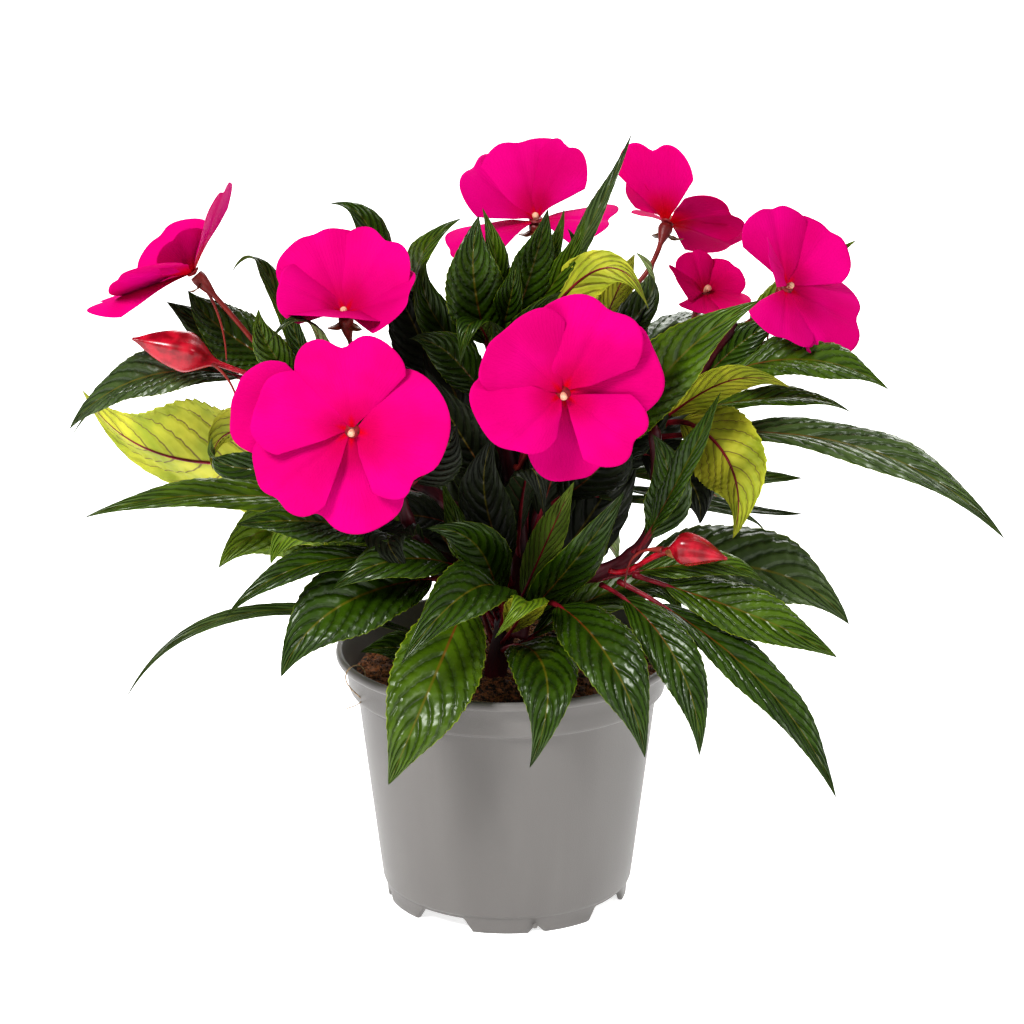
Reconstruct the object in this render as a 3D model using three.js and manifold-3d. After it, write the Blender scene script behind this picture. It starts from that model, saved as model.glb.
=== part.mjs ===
// A New Guinea impatiens in a 13 cm grower's pot.
// Millimetres, +Z up, origin on the pot's axis at the ground. -Y is the plant's front.
import * as THREE from 'three';
import { mergeVertices } from 'three/addons/utils/BufferGeometryUtils.js';
import Module from 'manifold-3d';

// ---------------------------------------------------------------- driving dimensions
const GAP = 0.3;                  // clearance left between neighbours that touch
const POT = {
  height: 99, rimRadius: 65, lipDrop: 4, collarRadius: 61.5, collarBottom: 83,
  shoulderRadius: 57, bodyFootRadius: 47.6, footRadius: 46, footHeight: 7,
  wall: 1.6, floor: 2, sides: 48,
};
// The openings in the foot ring, four of each: outlines across the ring and up from the ground.
const NOTCHES = [
  { outline: [[-13, -1], [13, -1], [9, 5], [-9, 5]], azimuth: -122 },
  { outline: [[-3.5, -1], [3.5, -1], [0, 3.2]], azimuth: -76 },
];
const DRAIN = { radius: 5, circle: 33, azimuth: -122 };
const SOIL = { edgeHeight: 88, crownHeight: 91, socketDepth: 14 };
const LEAF = { thick: 0.9, cup: 0.28, petiole: 0.2, petioleRadius: 1.1 };
const PETAL = { thick: 0.9, cup: 0.1, startRadius: 3.2, startHalf: 1.5, fan: 0.7, breadth: 0.62 };
// Rings of a whole corolla, as a share of its radius and a depth behind its face.
const COROLLA = [[0.3, 0], [0.66, 0], [1, 0], [0.97, 0.9], [0.66, 1], [0.25, 1.4]];
// Sections of the stalks and buds, as places along the centre line and radii.
const SINGLE_STALK = { places: [0.02, 0.15, 0.5, 1], radii: [3, 1.6, 1, 1.2] };
const PETALLED_STALK = { places: [0, 0.08, 0.16, 0.3, 0.6, 1], radii: [2.2, 2.5, 3.2, 1.6, 1, 1.2] };
const BUD = {
  places: [0, 0.2, 0.4, 0.52, 0.66, 0.8, 0.92], stalk: [1, 1, 1.3], swell: [0.7, 1, 0.8, 0.4],
};
// How far a piece's centre starts outside the skin of the shoot that it springs from.
const CLEAR = { shoot: 0.8, leaf: LEAF.petioleRadius + 1, flower: 2.2, bud: 1.8 };
const BLADE_STATIONS = [0.12, 0.32, 0.52, 0.7, 0.84, 0.94];
const PETAL_STATIONS = [0.3, 0.55, 0.76, 0.92];
const STEM_SIDES = 8;
const COROLLA_SIDES = 20;         // four points to a petal

const wasm = await Module();
wasm.setup();
const plant = new THREE.Group();

// ---------------------------------------------------------------- finishes
const finish = (color, roughness) => new THREE.MeshStandardMaterial({ color, roughness, metalness: 0 });
const FINISH = {
  pot: finish(0x8f8b88, 0.45),
  soil: finish(0x3b2416, 0.95),
  stem: finish(0x5a1f2b, 0.4),
  leaf: finish(0x1f4d1c, 0.35),
  petal: finish(0xff0a96, 0.5),
  bud: finish(0xb3163f, 0.35),
};

// ---------------------------------------------------------------- helpers
const vec = (list) => new THREE.Vector3(...list);

function addPiece(name, geometry, material) {
  const mesh = new THREE.Mesh(geometry, material);
  mesh.name = name;
  plant.add(mesh);
  return mesh;
}

// A closed skin over a row of rings with the same number of points, ended by a single point each way.
// Every ring turns anticlockwise as seen looking back from the far end.
function loft(first, rings, last) {
  const sides = rings[0].length;
  const points = [first, ...rings.flat(), last];
  const index = [];
  const at = (row, k) => 1 + row * sides + (k % sides);
  for (let k = 0; k < sides; k++) {
    index.push(0, at(0, k + 1), at(0, k));
    index.push(points.length - 1, at(rings.length - 1, k), at(rings.length - 1, k + 1));
    for (let row = 0; row < rings.length - 1; row++) {
      index.push(at(row, k), at(row, k + 1), at(row + 1, k + 1));
      index.push(at(row, k), at(row + 1, k + 1), at(row + 1, k));
    }
  }
  const geometry = new THREE.BufferGeometry().setFromPoints(points);
  geometry.setIndex(index);
  return geometry;
}

// Rings of round section along a curve, the frame carried along without twisting.
function roundRings(curve, fractions, radii, sides) {
  const rings = [];
  let tangent = curve.getTangent(fractions[0]);
  const side = new THREE.Vector3(1, 0.2, 0.1).cross(tangent).normalize();
  fractions.forEach((t, row) => {
    const next = curve.getTangent(t);
    side.applyQuaternion(new THREE.Quaternion().setFromUnitVectors(tangent, next));
    tangent = next;
    const across = new THREE.Vector3().crossVectors(tangent, side);
    const centre = curve.getPoint(t);
    rings.push(Array.from({ length: sides }, (_, k) => {
      const angle = (2 * Math.PI * k) / sides;
      return centre.clone()
        .addScaledVector(side, radii[row] * Math.cos(angle))
        .addScaledVector(across, radii[row] * Math.sin(angle));
    }));
  });
  return rings;
}

function centreOf(ring) {
  const sum = ring.reduce((total, p) => total.add(p), new THREE.Vector3());
  return sum.divideScalar(ring.length);
}

function toSolid(geometry) {
  geometry.deleteAttribute('normal');
  geometry.deleteAttribute('uv');
  const merged = mergeVertices(geometry, 1e-4);
  return new wasm.Manifold(new wasm.Mesh({
    numProp: 3,
    vertProperties: new Float32Array(merged.attributes.position.array),
    triVerts: new Uint32Array(merged.index.array),
  }));
}

function toGeometry(solid) {
  const mesh = solid.getMesh();
  const geometry = new THREE.BufferGeometry();
  geometry.setAttribute('position', new THREE.BufferAttribute(mesh.vertProperties, 3));
  geometry.setIndex(new THREE.BufferAttribute(mesh.triVerts, 1));
  return geometry;
}

// ---------------------------------------------------------------- pot and soil
function wallRadius(z) {            // the pot's inner wall
  const slope = (POT.shoulderRadius - POT.bodyFootRadius) / (POT.collarBottom - POT.footHeight);
  return POT.bodyFootRadius + slope * (z - POT.footHeight) - POT.wall;
}

function makePot() {
  const p = POT;
  const underFloor = p.footHeight;
  const overFloor = underFloor + p.floor;
  const lipBottom = p.height - p.lipDrop;
  const innerRim = p.rimRadius - 2.4;
  const profile = [
    [0, underFloor], [p.footRadius - 2.4, underFloor], [p.footRadius - 1.8, 0], [p.footRadius, 0],
    [p.footRadius + 0.7, p.footHeight - 0.6], [p.bodyFootRadius, p.footHeight + 0.4],
    [p.shoulderRadius, p.collarBottom], [p.collarRadius - 1.5, p.collarBottom + 0.8],
    [p.collarRadius, lipBottom], [p.rimRadius - 0.5, lipBottom + 0.4],
    [p.rimRadius, lipBottom + 1.6], [p.rimRadius - 0.6, p.height - 0.3], [p.rimRadius - 1.2, p.height],
    [innerRim, p.height - 0.4], [p.collarRadius - 3, p.collarBottom + 1],
    [wallRadius(p.collarBottom - 2), p.collarBottom - 2], [wallRadius(overFloor + 1), overFloor + 1],
    [wallRadius(overFloor) - 1, overFloor], [0, overFloor],
  ].map(([r, z]) => new THREE.Vector2(r, z));
  const lathe = new THREE.LatheGeometry(profile, p.sides).rotateX(Math.PI / 2);
  let solid = toSolid(lathe);

  const cutters = [];
  const reach = 14;
  for (let quarter = 0; quarter < 4; quarter++) {
    for (const { outline, azimuth } of NOTCHES) {
      const shape = new THREE.Shape(outline.map(([x, y]) => new THREE.Vector2(x, y)));
      const cutter = new THREE.ExtrudeGeometry(shape, { depth: reach, bevelEnabled: false });
      cutter.rotateX(Math.PI / 2).rotateZ(Math.PI / 2).translate(p.footRadius - reach / 2, 0, 0);
      cutters.push(cutter.rotateZ(THREE.MathUtils.degToRad(azimuth + 90 * quarter)));
    }
    const drain = new THREE.CylinderGeometry(DRAIN.radius, DRAIN.radius, 12, 16).rotateX(Math.PI / 2);
    drain.translate(DRAIN.circle, 0, underFloor);
    cutters.push(drain.rotateZ(THREE.MathUtils.degToRad(DRAIN.azimuth + 90 * quarter)));
  }
  for (const cutter of cutters) solid = solid.subtract(toSolid(cutter));
  addPiece('pot', toGeometry(solid), FINISH.pot);
}

function makeSoil(stemCutter) {
  const bottom = POT.footHeight + POT.floor + GAP;
  const edge = wallRadius(POT.collarBottom - 2);
  const profile = [
    [0, bottom], [wallRadius(bottom) - 1.5, bottom], [wallRadius(bottom + 2) - GAP, bottom + 2],
    [edge - GAP, POT.collarBottom - 2.4], [POT.collarRadius - 4.2, POT.collarBottom + 1],
    [POT.collarRadius - 3.9, SOIL.edgeHeight], [36, SOIL.edgeHeight + 1.2],
    [16, SOIL.crownHeight], [0, SOIL.crownHeight - 0.5],
  ].map(([r, z]) => new THREE.Vector2(r, z));
  const lathe = new THREE.LatheGeometry(profile, POT.sides).rotateX(Math.PI / 2);
  addPiece('soil', toGeometry(toSolid(lathe).subtract(stemCutter)), FINISH.soil);
}

// ---------------------------------------------------------------- stems
// Each shoot springs from a parent at a fraction of its length and carries leaves and flowers.
const SHOOTS = {
  main_stem: { from: [-4, -5, SOIL.crownHeight - SOIL.socketDepth + 1], radius: [5, 3.2],
    route: [[-4, -5, 95], [1, -3, 112], [4, 0, 135], [2, 4, 163], [-3, 5, 194], [-5, 1, 222]] },
  shoot_front_left: { parent: 'main_stem', at: 0.36, radius: [3.4, 2.2],
    route: [[-14, -20, 137], [-28, -31, 144], [-38, -36, 168], [-44, -34, 188]] },
  shoot_left: { parent: 'main_stem', at: 0.45, radius: [3.4, 2.2],
    route: [[-16, 2, 150], [-42, 3, 168], [-70, 2, 192], [-92, 2, 208]] },
  shoot_back_left: { parent: 'main_stem', at: 0.52, radius: [3.2, 2.2],
    route: [[-11, 20, 166], [-28, 28, 192], [-42, 24, 222]] },
  shoot_front_right: { parent: 'main_stem', at: 0.28, radius: [3.6, 2.2],
    route: [[14, -12, 126], [30, -22, 134], [48, -28, 144], [55, -24, 168], [55, -20, 192]] },
  shoot_right: { parent: 'main_stem', at: 0.5, radius: [3.4, 2.2],
    route: [[16, 8, 156], [44, 14, 172], [70, 13, 200], [86, 12, 222]] },
  shoot_back: { parent: 'main_stem', at: 0.42, radius: [3.4, 2.2],
    route: [[9, 18, 148], [18, 38, 170], [32, 42, 204], [38, 40, 230]] },
};

const shoots = {};

function shootRadius(shoot, t) {
  return THREE.MathUtils.lerp(shoot.radius[0], shoot.radius[1], t);
}

// The place on a shoot's skin that faces a given point, a little clear of it.
function budSite(shootName, t, towards, clear) {
  const shoot = shoots[shootName];
  const centre = shoot.curve.getPoint(t);
  const axis = shoot.curve.getTangent(t);
  const out = towards.clone().sub(centre);
  out.addScaledVector(axis, -out.dot(axis)).normalize();
  return centre.addScaledVector(out, shootRadius(shoot, t) + clear);
}

function makeShoot(name, spec) {
  const route = spec.route.map(vec);
  const start = spec.parent
    ? budSite(spec.parent, spec.at, route[0], spec.radius[0] + CLEAR.shoot)
    : vec(spec.from);
  const curve = new THREE.CatmullRomCurve3([start, ...route], false, 'centripetal');
  shoots[name] = { curve, radius: spec.radius };
  const steps = 2 * spec.route.length + 1;
  const fractions = Array.from({ length: steps }, (_, k) => k / (steps - 1));
  const radii = fractions.map((t) => shootRadius(spec, t));
  const rings = roundRings(curve, fractions, radii, STEM_SIDES);
  const geometry = loft(centreOf(rings[0]), rings, centreOf(rings[steps - 1]));
  addPiece(name, geometry, FINISH.stem);
}

// ---------------------------------------------------------------- leaves
// A leaf's midrib passes through its bud site, a bend and its tip. `faces` is the way that its
// glossy upper side looks. The blade is hollowed a little towards that side, so its edges stand up.
const bladeWidth = (s) => Math.sin(Math.PI * s ** 0.8) ** 0.9;

const LOOK_AT = 0.6;              // the place along the midrib where `faces` holds

function flatRow(curve, t, faces, halfWidth, thick, rise) {
  const centre = curve.getPoint(t);
  const along = curve.getTangent(t);
  const reference = curve.getTangent(LOOK_AT);
  const bending = new THREE.Quaternion().setFromUnitVectors(reference, along);
  const across = new THREE.Vector3().crossVectors(reference, faces).normalize().applyQuaternion(bending);
  const up = new THREE.Vector3().crossVectors(across, along);
  return [
    centre.clone().addScaledVector(across, -halfWidth).addScaledVector(up, rise),
    centre.clone().addScaledVector(up, thick / 2),
    centre.clone().addScaledVector(across, halfWidth).addScaledVector(up, rise),
    centre.clone().addScaledVector(up, -thick / 2),
  ];
}

function throughThree(start, bend, tip) {
  const control = bend.clone().multiplyScalar(2).addScaledVector(start, -0.5).addScaledVector(tip, -0.5);
  return new THREE.QuadraticBezierCurve3(start, control, tip);
}

function makeLeaf(name, shootName, at, bend, tip, width, faces, cup = LEAF.cup, petiole = LEAF.petiole) {
  const start = budSite(shootName, at, vec(bend), CLEAR.leaf);
  const curve = throughThree(start, vec(bend), vec(tip));
  const look = vec(faces).normalize();
  const rings = [0, petiole * 0.8].map((t) =>
    flatRow(curve, t, look, LEAF.petioleRadius, 2 * LEAF.petioleRadius, 0));
  for (const s of BLADE_STATIONS) {
    const half = (width / 2) * bladeWidth(s);
    rings.push(flatRow(curve, petiole + (1 - petiole) * s, look, half, LEAF.thick, cup * half));
  }
  addPiece(name, loft(start, rings, curve.getPoint(1)), FINISH.leaf);
}

// name, shoot, place on the shoot, bend, tip, width, upper side looks, cup, petiole
const LEAVES = [
  ['leaf_over_rim_left', 'shoot_front_left', 0.2, [-28, -74, 108], [-43, -83, 74], 34, [-0.1, -1, 0.3]],
  ['leaf_front_left_short', 'main_stem', 0.3, [-10, -56, 142], [-38, -88, 122], 26, [0.1, -0.6, 1]],
  ['leaf_over_rim_centre', 'main_stem', 0.22, [15, -70, 112], [8, -82, 80], 26, [-0.1, -1, 0.3]],
  ['leaf_over_rim_right', 'shoot_front_right', 0.18, [37, -68, 118], [50, -82, 84], 27, [0.2, -1, 0.6]],
  ['leaf_right_hanging_slim', 'shoot_front_right', 0.45, [61, -60, 116], [70, -72, 81], 19, [0.1, -1, 0.2]],
  ['leaf_right_hanging_long', 'shoot_front_right', 0.5, [92, -52, 104], [121, -66, 62], 21, [0.5, -0.8, 0.8]],
  ['leaf_right_low', 'shoot_front_right', 0.55, [93, -42, 124], [122, -46, 110], 22, [0.1, -0.8, 0.8]],
  ['leaf_right_broad', 'shoot_front_right', 0.4, [94, -8, 132], [129, -12, 111], 36, [0.3, -0.8, 1]],
  ['leaf_right_underside', 'shoot_right', 0.62, [81, -28, 183], [83, -34, 152], 32, [0.3, 1, 0.1]],
  ['leaf_right_folded', 'shoot_front_right', 0.62, [64, -46, 182], [77, -50, 213], 15, [-0.8, -0.5, 0.4]],
  ['leaf_beside_flower_2', 'shoot_right', 0.4, [68, -42, 228], [91, -50, 247], 27, [-0.4, -1, 0.5]],
  ['leaf_right_upper', 'shoot_right', 0.75, [108, -2, 212], [142, -6, 201], 25, [0.1, -0.6, 1]],
  ['leaf_right_longest', 'shoot_right', 0.58, [128, -44, 190], [177, -86, 168], 22, [0.2, -0.6, 1]],
  ['leaf_top_tall', 'main_stem', 0.9, [33, -2, 268], [46, 6, 296], 12, [-1, -0.6, 0.1]],
  ['leaf_left_upper', 'shoot_left', 0.85, [-108, 4, 224], [-118, 0, 238], 24, [0.3, -1, 0.6]],
  ['leaf_left_pointing', 'shoot_left', 0.9, [-130, 8, 204], [-166, 20, 178], 24, [-0.1, -0.6, 1]],
  ['leaf_left_translucent', 'shoot_left', 0.6, [-130, 48, 160], [-166, 66, 182], 40, [0.2, 1, 0.4]],
  ['leaf_left_low', 'shoot_left', 0.35, [-118, -28, 166], [-156, -34, 160], 18, [0, -0.4, 1]],
  ['leaf_under_flower_1', 'shoot_front_left', 0.6, [-64, -46, 162], [-98, -54, 164], 22, [0, -0.7, 1]],
  ['leaf_left_hanging', 'shoot_left', 0.25, [-84, -6, 148], [-108, -14, 134], 26, [-0.3, -1, 0.6]],
  ['leaf_left_drooping', 'shoot_front_left', 0.4, [-70, -56, 150], [-102, -66, 132], 16, [-0.1, -0.5, 1]],
  ['leaf_left_broad_low', 'shoot_front_left', 0.28, [-60, -56, 134], [-82, -68, 110], 32, [-0.3, -1, 0.6]],
  ['leaf_left_thin_arched', 'main_stem', 0.16, [-92, -48, 129], [-140, -62, 98], 8, [-0.2, -0.6, 1]],
  ['leaf_top_centre', 'main_stem', 0.94, [-12, -22, 250], [-10, -20, 271], 24, [0.2, -1, -0.1]],
  ['leaf_top_right', 'main_stem', 0.97, [10, -12, 252], [15, -14, 272], 20, [0.3, -1, 0.1]],
  ['leaf_back_left', 'shoot_back_left', 0.5, [-112, 70, 196], [-174, 88, 154], 30, [-0.3, 0.2, 1]],
  ['leaf_back_centre', 'shoot_back', 0.4, [0, 68, 190], [-20, 90, 164], 34, [-0.1, 0.6, 1]],
  ['leaf_back_right', 'shoot_back', 0.55, [66, 70, 206], [98, 90, 190], 34, [0.4, 0.5, 1]],
  ['leaf_back_low_right', 'shoot_right', 0.3, [64, 54, 150], [92, 78, 124], 32, [0.4, 0.5, 1]],
  ['leaf_back_low_left', 'shoot_back_left', 0.2, [-44, 56, 146], [-70, 80, 114], 32, [-0.3, 0.5, 1]],
];

// ---------------------------------------------------------------- flowers
// A flower's throat, the way that it looks, its radius, how far its petals lie back from flat,
// and the shoot that its stalk springs from.
const FLOWERS = [
  ['flower_1', [-55, -66, 203], [-0.1, -1, 0.18], 37, 3, 'shoot_front_left', 0.97, 74],
  ['flower_2', [20, -60, 215], [0.12, -1, 0.12], 34, 3, 'main_stem', 0.7, 70],
  ['flower_3', [-59, -20, 234], [-0.1, -0.5, 0.85], 29, -5, 'shoot_back_left', 0.9, 90],
  ['flower_4', [-115, -6, 246], [-0.65, 0.05, 0.75], 35, 1, 'shoot_left', 0.97, 60],
  ['flower_5', [11, 44, 254], [-0.05, -0.35, 0.94], 31, -3, 'shoot_back', 0.78, 90],
  ['flower_6', [61, 52, 251], [0.3, 0.6, 0.7], 27, -4, 'shoot_back', 0.95, 70],
  ['flower_7', [104, 12, 236], [0.45, -0.6, 0.65], 30, -3, 'shoot_right', 0.97, 40],
  ['flower_8', [75, 40, 227], [0.3, -0.4, 0.9], 20, -2, 'shoot_back', 0.7, 90],
];

const LOBES = [1, 0.97, 0.84, 0.97];       // tip, shoulder, notch, shoulder of each petal

// Two directions square to a flower's axis, the first towards its first petal.
function faceFrame(axis, spinDegrees) {
  const side = new THREE.Vector3(0, 0, 1).cross(axis).normalize();
  const rise = new THREE.Vector3().crossVectors(axis, side);
  const spin = THREE.MathUtils.degToRad(spinDegrees);
  const u = side.clone().multiplyScalar(Math.cos(spin)).addScaledVector(rise, Math.sin(spin));
  return [u, new THREE.Vector3().crossVectors(axis, u)];
}

// The stalk leaves the shoot, arches up behind the flower and swells into the calyx.
function stalkCurve(throat, axis, shootName, at, drop) {
  const calyx = throat.clone().addScaledVector(axis, -drop);
  const behind = throat.clone().addScaledVector(axis, -drop - 12);
  const start = budSite(shootName, at, behind, CLEAR.flower);
  return new THREE.CatmullRomCurve3([calyx, behind, start], false, 'centripetal');
}

function makeFlower(name, throatAt, looks, radius, fall, shootName, at, spin) {
  const throat = vec(throatAt);
  const axis = vec(looks).normalize();
  const [u, v] = faceFrame(axis, spin);
  const ring = (share, back) => Array.from({ length: COROLLA_SIDES }, (_, k) => {
    const angle = (2 * Math.PI * k) / COROLLA_SIDES;
    const lobe = 1 - (1 - LOBES[k % 4]) * share ** 3;
    const reach = radius * share * lobe;
    return throat.clone().addScaledVector(u, reach * Math.cos(angle))
      .addScaledVector(v, reach * Math.sin(angle))
      .addScaledVector(axis, -fall * share ** 2 - back);
  });
  const rings = COROLLA.map(([share, back]) => ring(share, back));
  const curve = stalkCurve(throat, axis, shootName, at, 3);
  const sections = roundRings(curve, SINGLE_STALK.places, SINGLE_STALK.radii, COROLLA_SIDES);
  const stalk = sections.map((section) => section.slice().reverse());
  // turn the stalk's sections so that they start in line with the petals' rings
  const aligned = stalk.map((section) => {
    const middle = centreOf(section);
    let best = 0;
    section.forEach((p, k) => {
      if (p.clone().sub(middle).dot(u) > section[best].clone().sub(middle).dot(u)) best = k;
    });
    return section.map((_, k) => section[(best + k) % COROLLA_SIDES]);
  });
  const skin = [...rings, ...aligned].map((r) => r.slice().reverse());
  addPiece(name, loft(throat, skin, centreOf(aligned[aligned.length - 1])), FINISH.petal);
}

// The two front flowers are built petal by petal on a stalk that ends in the throat.
const PETAL_NAMES = ['top', 'left', 'lower_left', 'lower_right', 'right'];
const PETAL_LENGTHS = { flower_1: [36, 43, 38, 38, 36], flower_2: [36, 36, 31, 34, 36] };

function makePetalFlower(name, throatAt, looks, radius, fall, shootName, at, spin) {
  const throat = vec(throatAt);
  const axis = vec(looks).normalize();
  const [u, v] = faceFrame(axis, spin);
  const inner = PETAL.startRadius;
  PETAL_NAMES.forEach((petal, k) => {
    const angle = (2 * Math.PI * k) / PETAL_NAMES.length;
    const out = u.clone().multiplyScalar(Math.cos(angle)).addScaledVector(v, Math.sin(angle));
    const length = PETAL_LENGTHS[name][k];
    const place = (r) => throat.clone().addScaledVector(out, r)
      .addScaledVector(axis, -fall * (r / radius) ** 2);
    const curve = throughThree(place(inner), place((inner + length) / 2), place(length));
    const rings = [flatRow(curve, 0, axis, PETAL.startHalf, PETAL.thick, 0)];
    for (const s of PETAL_STATIONS) {
      const reach = inner + (length - inner) * s;
      const half = Math.min(PETAL.fan * reach - GAP, PETAL.breadth * radius * Math.sqrt(1 - s ** 6));
      rings.push(flatRow(curve, s, axis, half, PETAL.thick, PETAL.cup * half));
    }
    addPiece(`${name}_petal_${petal}`, loft(place(inner), rings, place(length)), FINISH.petal);
  });
  const curve = stalkCurve(throat, axis, shootName, at, 0);
  const rings = roundRings(curve, PETALLED_STALK.places, PETALLED_STALK.radii, STEM_SIDES);
  addPiece(`${name}_stalk`, loft(centreOf(rings[0]), rings, centreOf(rings.at(-1))), FINISH.stem);
}

// ---------------------------------------------------------------- buds
const BUDS = [
  ['bud_left', 'shoot_left', 0.98, [-106, -6, 211], [-118, -8, 216], [-138, -10, 222], 6],
  ['bud_right', 'shoot_front_right', 0.5, [60, -46, 151], [64, -48, 153], [80, -54, 151], 5],
];

function makeBud(name, shootName, at, bend, foot, tip, radius) {
  const start = budSite(shootName, at, vec(bend), CLEAR.bud);
  const curve = new THREE.CatmullRomCurve3([start, vec(bend), vec(foot), vec(tip)], false, 'centripetal');
  const radii = [...BUD.stalk, ...BUD.swell.map((share) => share * radius)];
  const rings = roundRings(curve, BUD.places, radii, STEM_SIDES);
  addPiece(name, loft(start, rings, curve.getPoint(1)), FINISH.bud);
}

// ---------------------------------------------------------------- assembly
makePot();
const socketRadius = SHOOTS.main_stem.radius[0] + GAP;
const socket = new THREE.CylinderGeometry(socketRadius, socketRadius, 2 * SOIL.socketDepth, 16);
const [stemX, stemY] = SHOOTS.main_stem.from;
socket.rotateX(Math.PI / 2).translate(stemX, stemY, SOIL.crownHeight);
makeSoil(toSolid(socket));
for (const [name, spec] of Object.entries(SHOOTS)) makeShoot(name, spec);
for (const leaf of LEAVES) makeLeaf(...leaf);
for (const flower of FLOWERS) {
  const detailed = flower[0] === 'flower_1' || flower[0] === 'flower_2';
  (detailed ? makePetalFlower : makeFlower)(...flower);
}
for (const bud of BUDS) makeBud(...bud);

export default plant;
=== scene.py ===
# %% [markdown]
# # A New Guinea impatiens in a grower's pot
#
# The plant is built around a fixed frame: a plain solid for the pot, the soil, each shoot, each leaf, each
# petal and each bud. The frame settles where everything is and how big it is. This script gives every solid
# its real surface. It reads the centre lines and edges back out of the frame's solids, so nothing here has
# to be placed twice. All lengths are in metres and Z is up.

# %% Load the frame
import math

import bpy
import numpy as np
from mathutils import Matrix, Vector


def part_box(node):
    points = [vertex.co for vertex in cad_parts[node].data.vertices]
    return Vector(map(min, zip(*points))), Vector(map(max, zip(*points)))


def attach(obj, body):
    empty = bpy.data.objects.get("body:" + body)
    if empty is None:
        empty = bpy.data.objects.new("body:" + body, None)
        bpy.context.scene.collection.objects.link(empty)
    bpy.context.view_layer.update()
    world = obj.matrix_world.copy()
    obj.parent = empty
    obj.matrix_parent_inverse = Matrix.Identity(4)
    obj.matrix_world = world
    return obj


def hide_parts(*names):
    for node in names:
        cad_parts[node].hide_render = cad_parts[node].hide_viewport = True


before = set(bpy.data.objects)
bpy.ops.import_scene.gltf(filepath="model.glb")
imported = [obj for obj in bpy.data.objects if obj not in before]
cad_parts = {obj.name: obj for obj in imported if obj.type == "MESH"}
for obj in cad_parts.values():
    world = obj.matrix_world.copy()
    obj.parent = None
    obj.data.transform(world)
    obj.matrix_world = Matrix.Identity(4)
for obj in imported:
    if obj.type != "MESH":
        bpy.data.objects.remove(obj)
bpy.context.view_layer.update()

MM = 0.001
random = np.random.default_rng(14)

# %% [markdown]
# ## The camera
#
# The plant is seen from a little above with a long lens, which keeps its proportions calm. The camera stands
# a metre and a half in front of the pot, seventeen degrees up, and looks at the middle of the whole plant.

# %% Camera
CAMERA_DISTANCE = 1.5
CAMERA_RISE = math.radians(17.3)
LENS = 140.3
aim = np.array([1.9 * MM, 0, 152 * MM])
camera = bpy.data.objects.new("camera", bpy.data.cameras.new("camera"))
camera.data.lens = LENS
camera.data.sensor_width = 36
camera.location = aim + CAMERA_DISTANCE * np.array([0, -math.cos(CAMERA_RISE), math.sin(CAMERA_RISE)])
camera.rotation_euler = (math.pi / 2 - CAMERA_RISE, 0, 0)
bpy.context.collection.objects.link(camera)
bpy.context.scene.camera = camera
print("camera", [round(v, 3) for v in camera.location])

# %% [markdown]
# ## Floor and light
#
# A plain white floor, a white surround that fills the shadows, one broad key lamp up at the left
# of the camera, a weaker one at the right and a lamp behind that lights the leaves' edges.

# %% Floor, surround and lamps
def area_lamp(name, place, size, power):
    """A square lamp that looks at the middle of the plant."""
    lamp = bpy.data.objects.new(name, bpy.data.lights.new(name, "AREA"))
    lamp.data.size = size
    lamp.data.energy = power
    lamp.location = place
    direction = np.array([0, 0, 0.15]) - np.array(place)
    lean = math.atan2(math.hypot(direction[0], direction[1]), -direction[2])
    lamp.rotation_euler = (lean, 0, math.atan2(direction[1], direction[0]) - math.pi / 2)
    bpy.context.collection.objects.link(lamp)


# name, place, size of the square, watts
LAMPS = [
    ("key_lamp", (-0.7, -0.9, 1.2), 0.45, 27),
    ("fill_lamp", (1.2, -0.8, 0.7), 0.6, 7),
    ("back_lamp", (0.3, 1.1, 1.0), 0.9, 16),
]
for lamp_row in LAMPS:
    area_lamp(*lamp_row)
SURROUND_STRENGTH = 0.42
world = bpy.data.worlds.new("studio")
bpy.context.scene.world = world
world.use_nodes = True
world.node_tree.nodes["Background"].inputs["Color"].default_value = (1, 1, 1, 1)
world.node_tree.nodes["Background"].inputs["Strength"].default_value = SURROUND_STRENGTH
bpy.context.scene.view_settings.view_transform = "Standard"
bpy.context.scene.view_settings.look = "Medium High Contrast"

# %% [markdown]
# ## Shader arithmetic
#
# A procedural finish is mostly arithmetic on coordinates. Wrapping each socket in a small class lets that
# arithmetic be written as ordinary Python: every expression adds the Math nodes that it stands for.

# %% Sockets as values
class Value:
    """A node's output, so that arithmetic on it adds Math nodes."""

    def __init__(self, shader, socket):
        self.shader, self.socket = shader, socket

    def _math(self, operation, *values):
        return self.shader.add("ShaderNodeMath", {"operation": operation}, dict(enumerate(values)))

    def __add__(self, other):
        return self._math("ADD", self, other)

    def __radd__(self, other):
        return self._math("ADD", other, self)

    def __sub__(self, other):
        return self._math("SUBTRACT", self, other)

    def __rsub__(self, other):
        return self._math("SUBTRACT", other, self)

    def __mul__(self, other):
        return self._math("MULTIPLY", self, other)

    def __rmul__(self, other):
        return self._math("MULTIPLY", other, self)

    def __pow__(self, power):
        return self._math("POWER", self, power)

    def __abs__(self):
        return self._math("ABSOLUTE", self)

    def pingpong(self, period):
        return self._math("PINGPONG", self, period)

    def step(self, low, high):
        """0 below low, 1 above high and a smooth rise between; falls if low is the larger."""
        if low > high:
            return 1 - self.step(high, low)
        return self.shader.add(
            "ShaderNodeMapRange", {"interpolation_type": "SMOOTHSTEP"},
            {"Value": self, "From Min": low, "From Max": high},
        )


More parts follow.
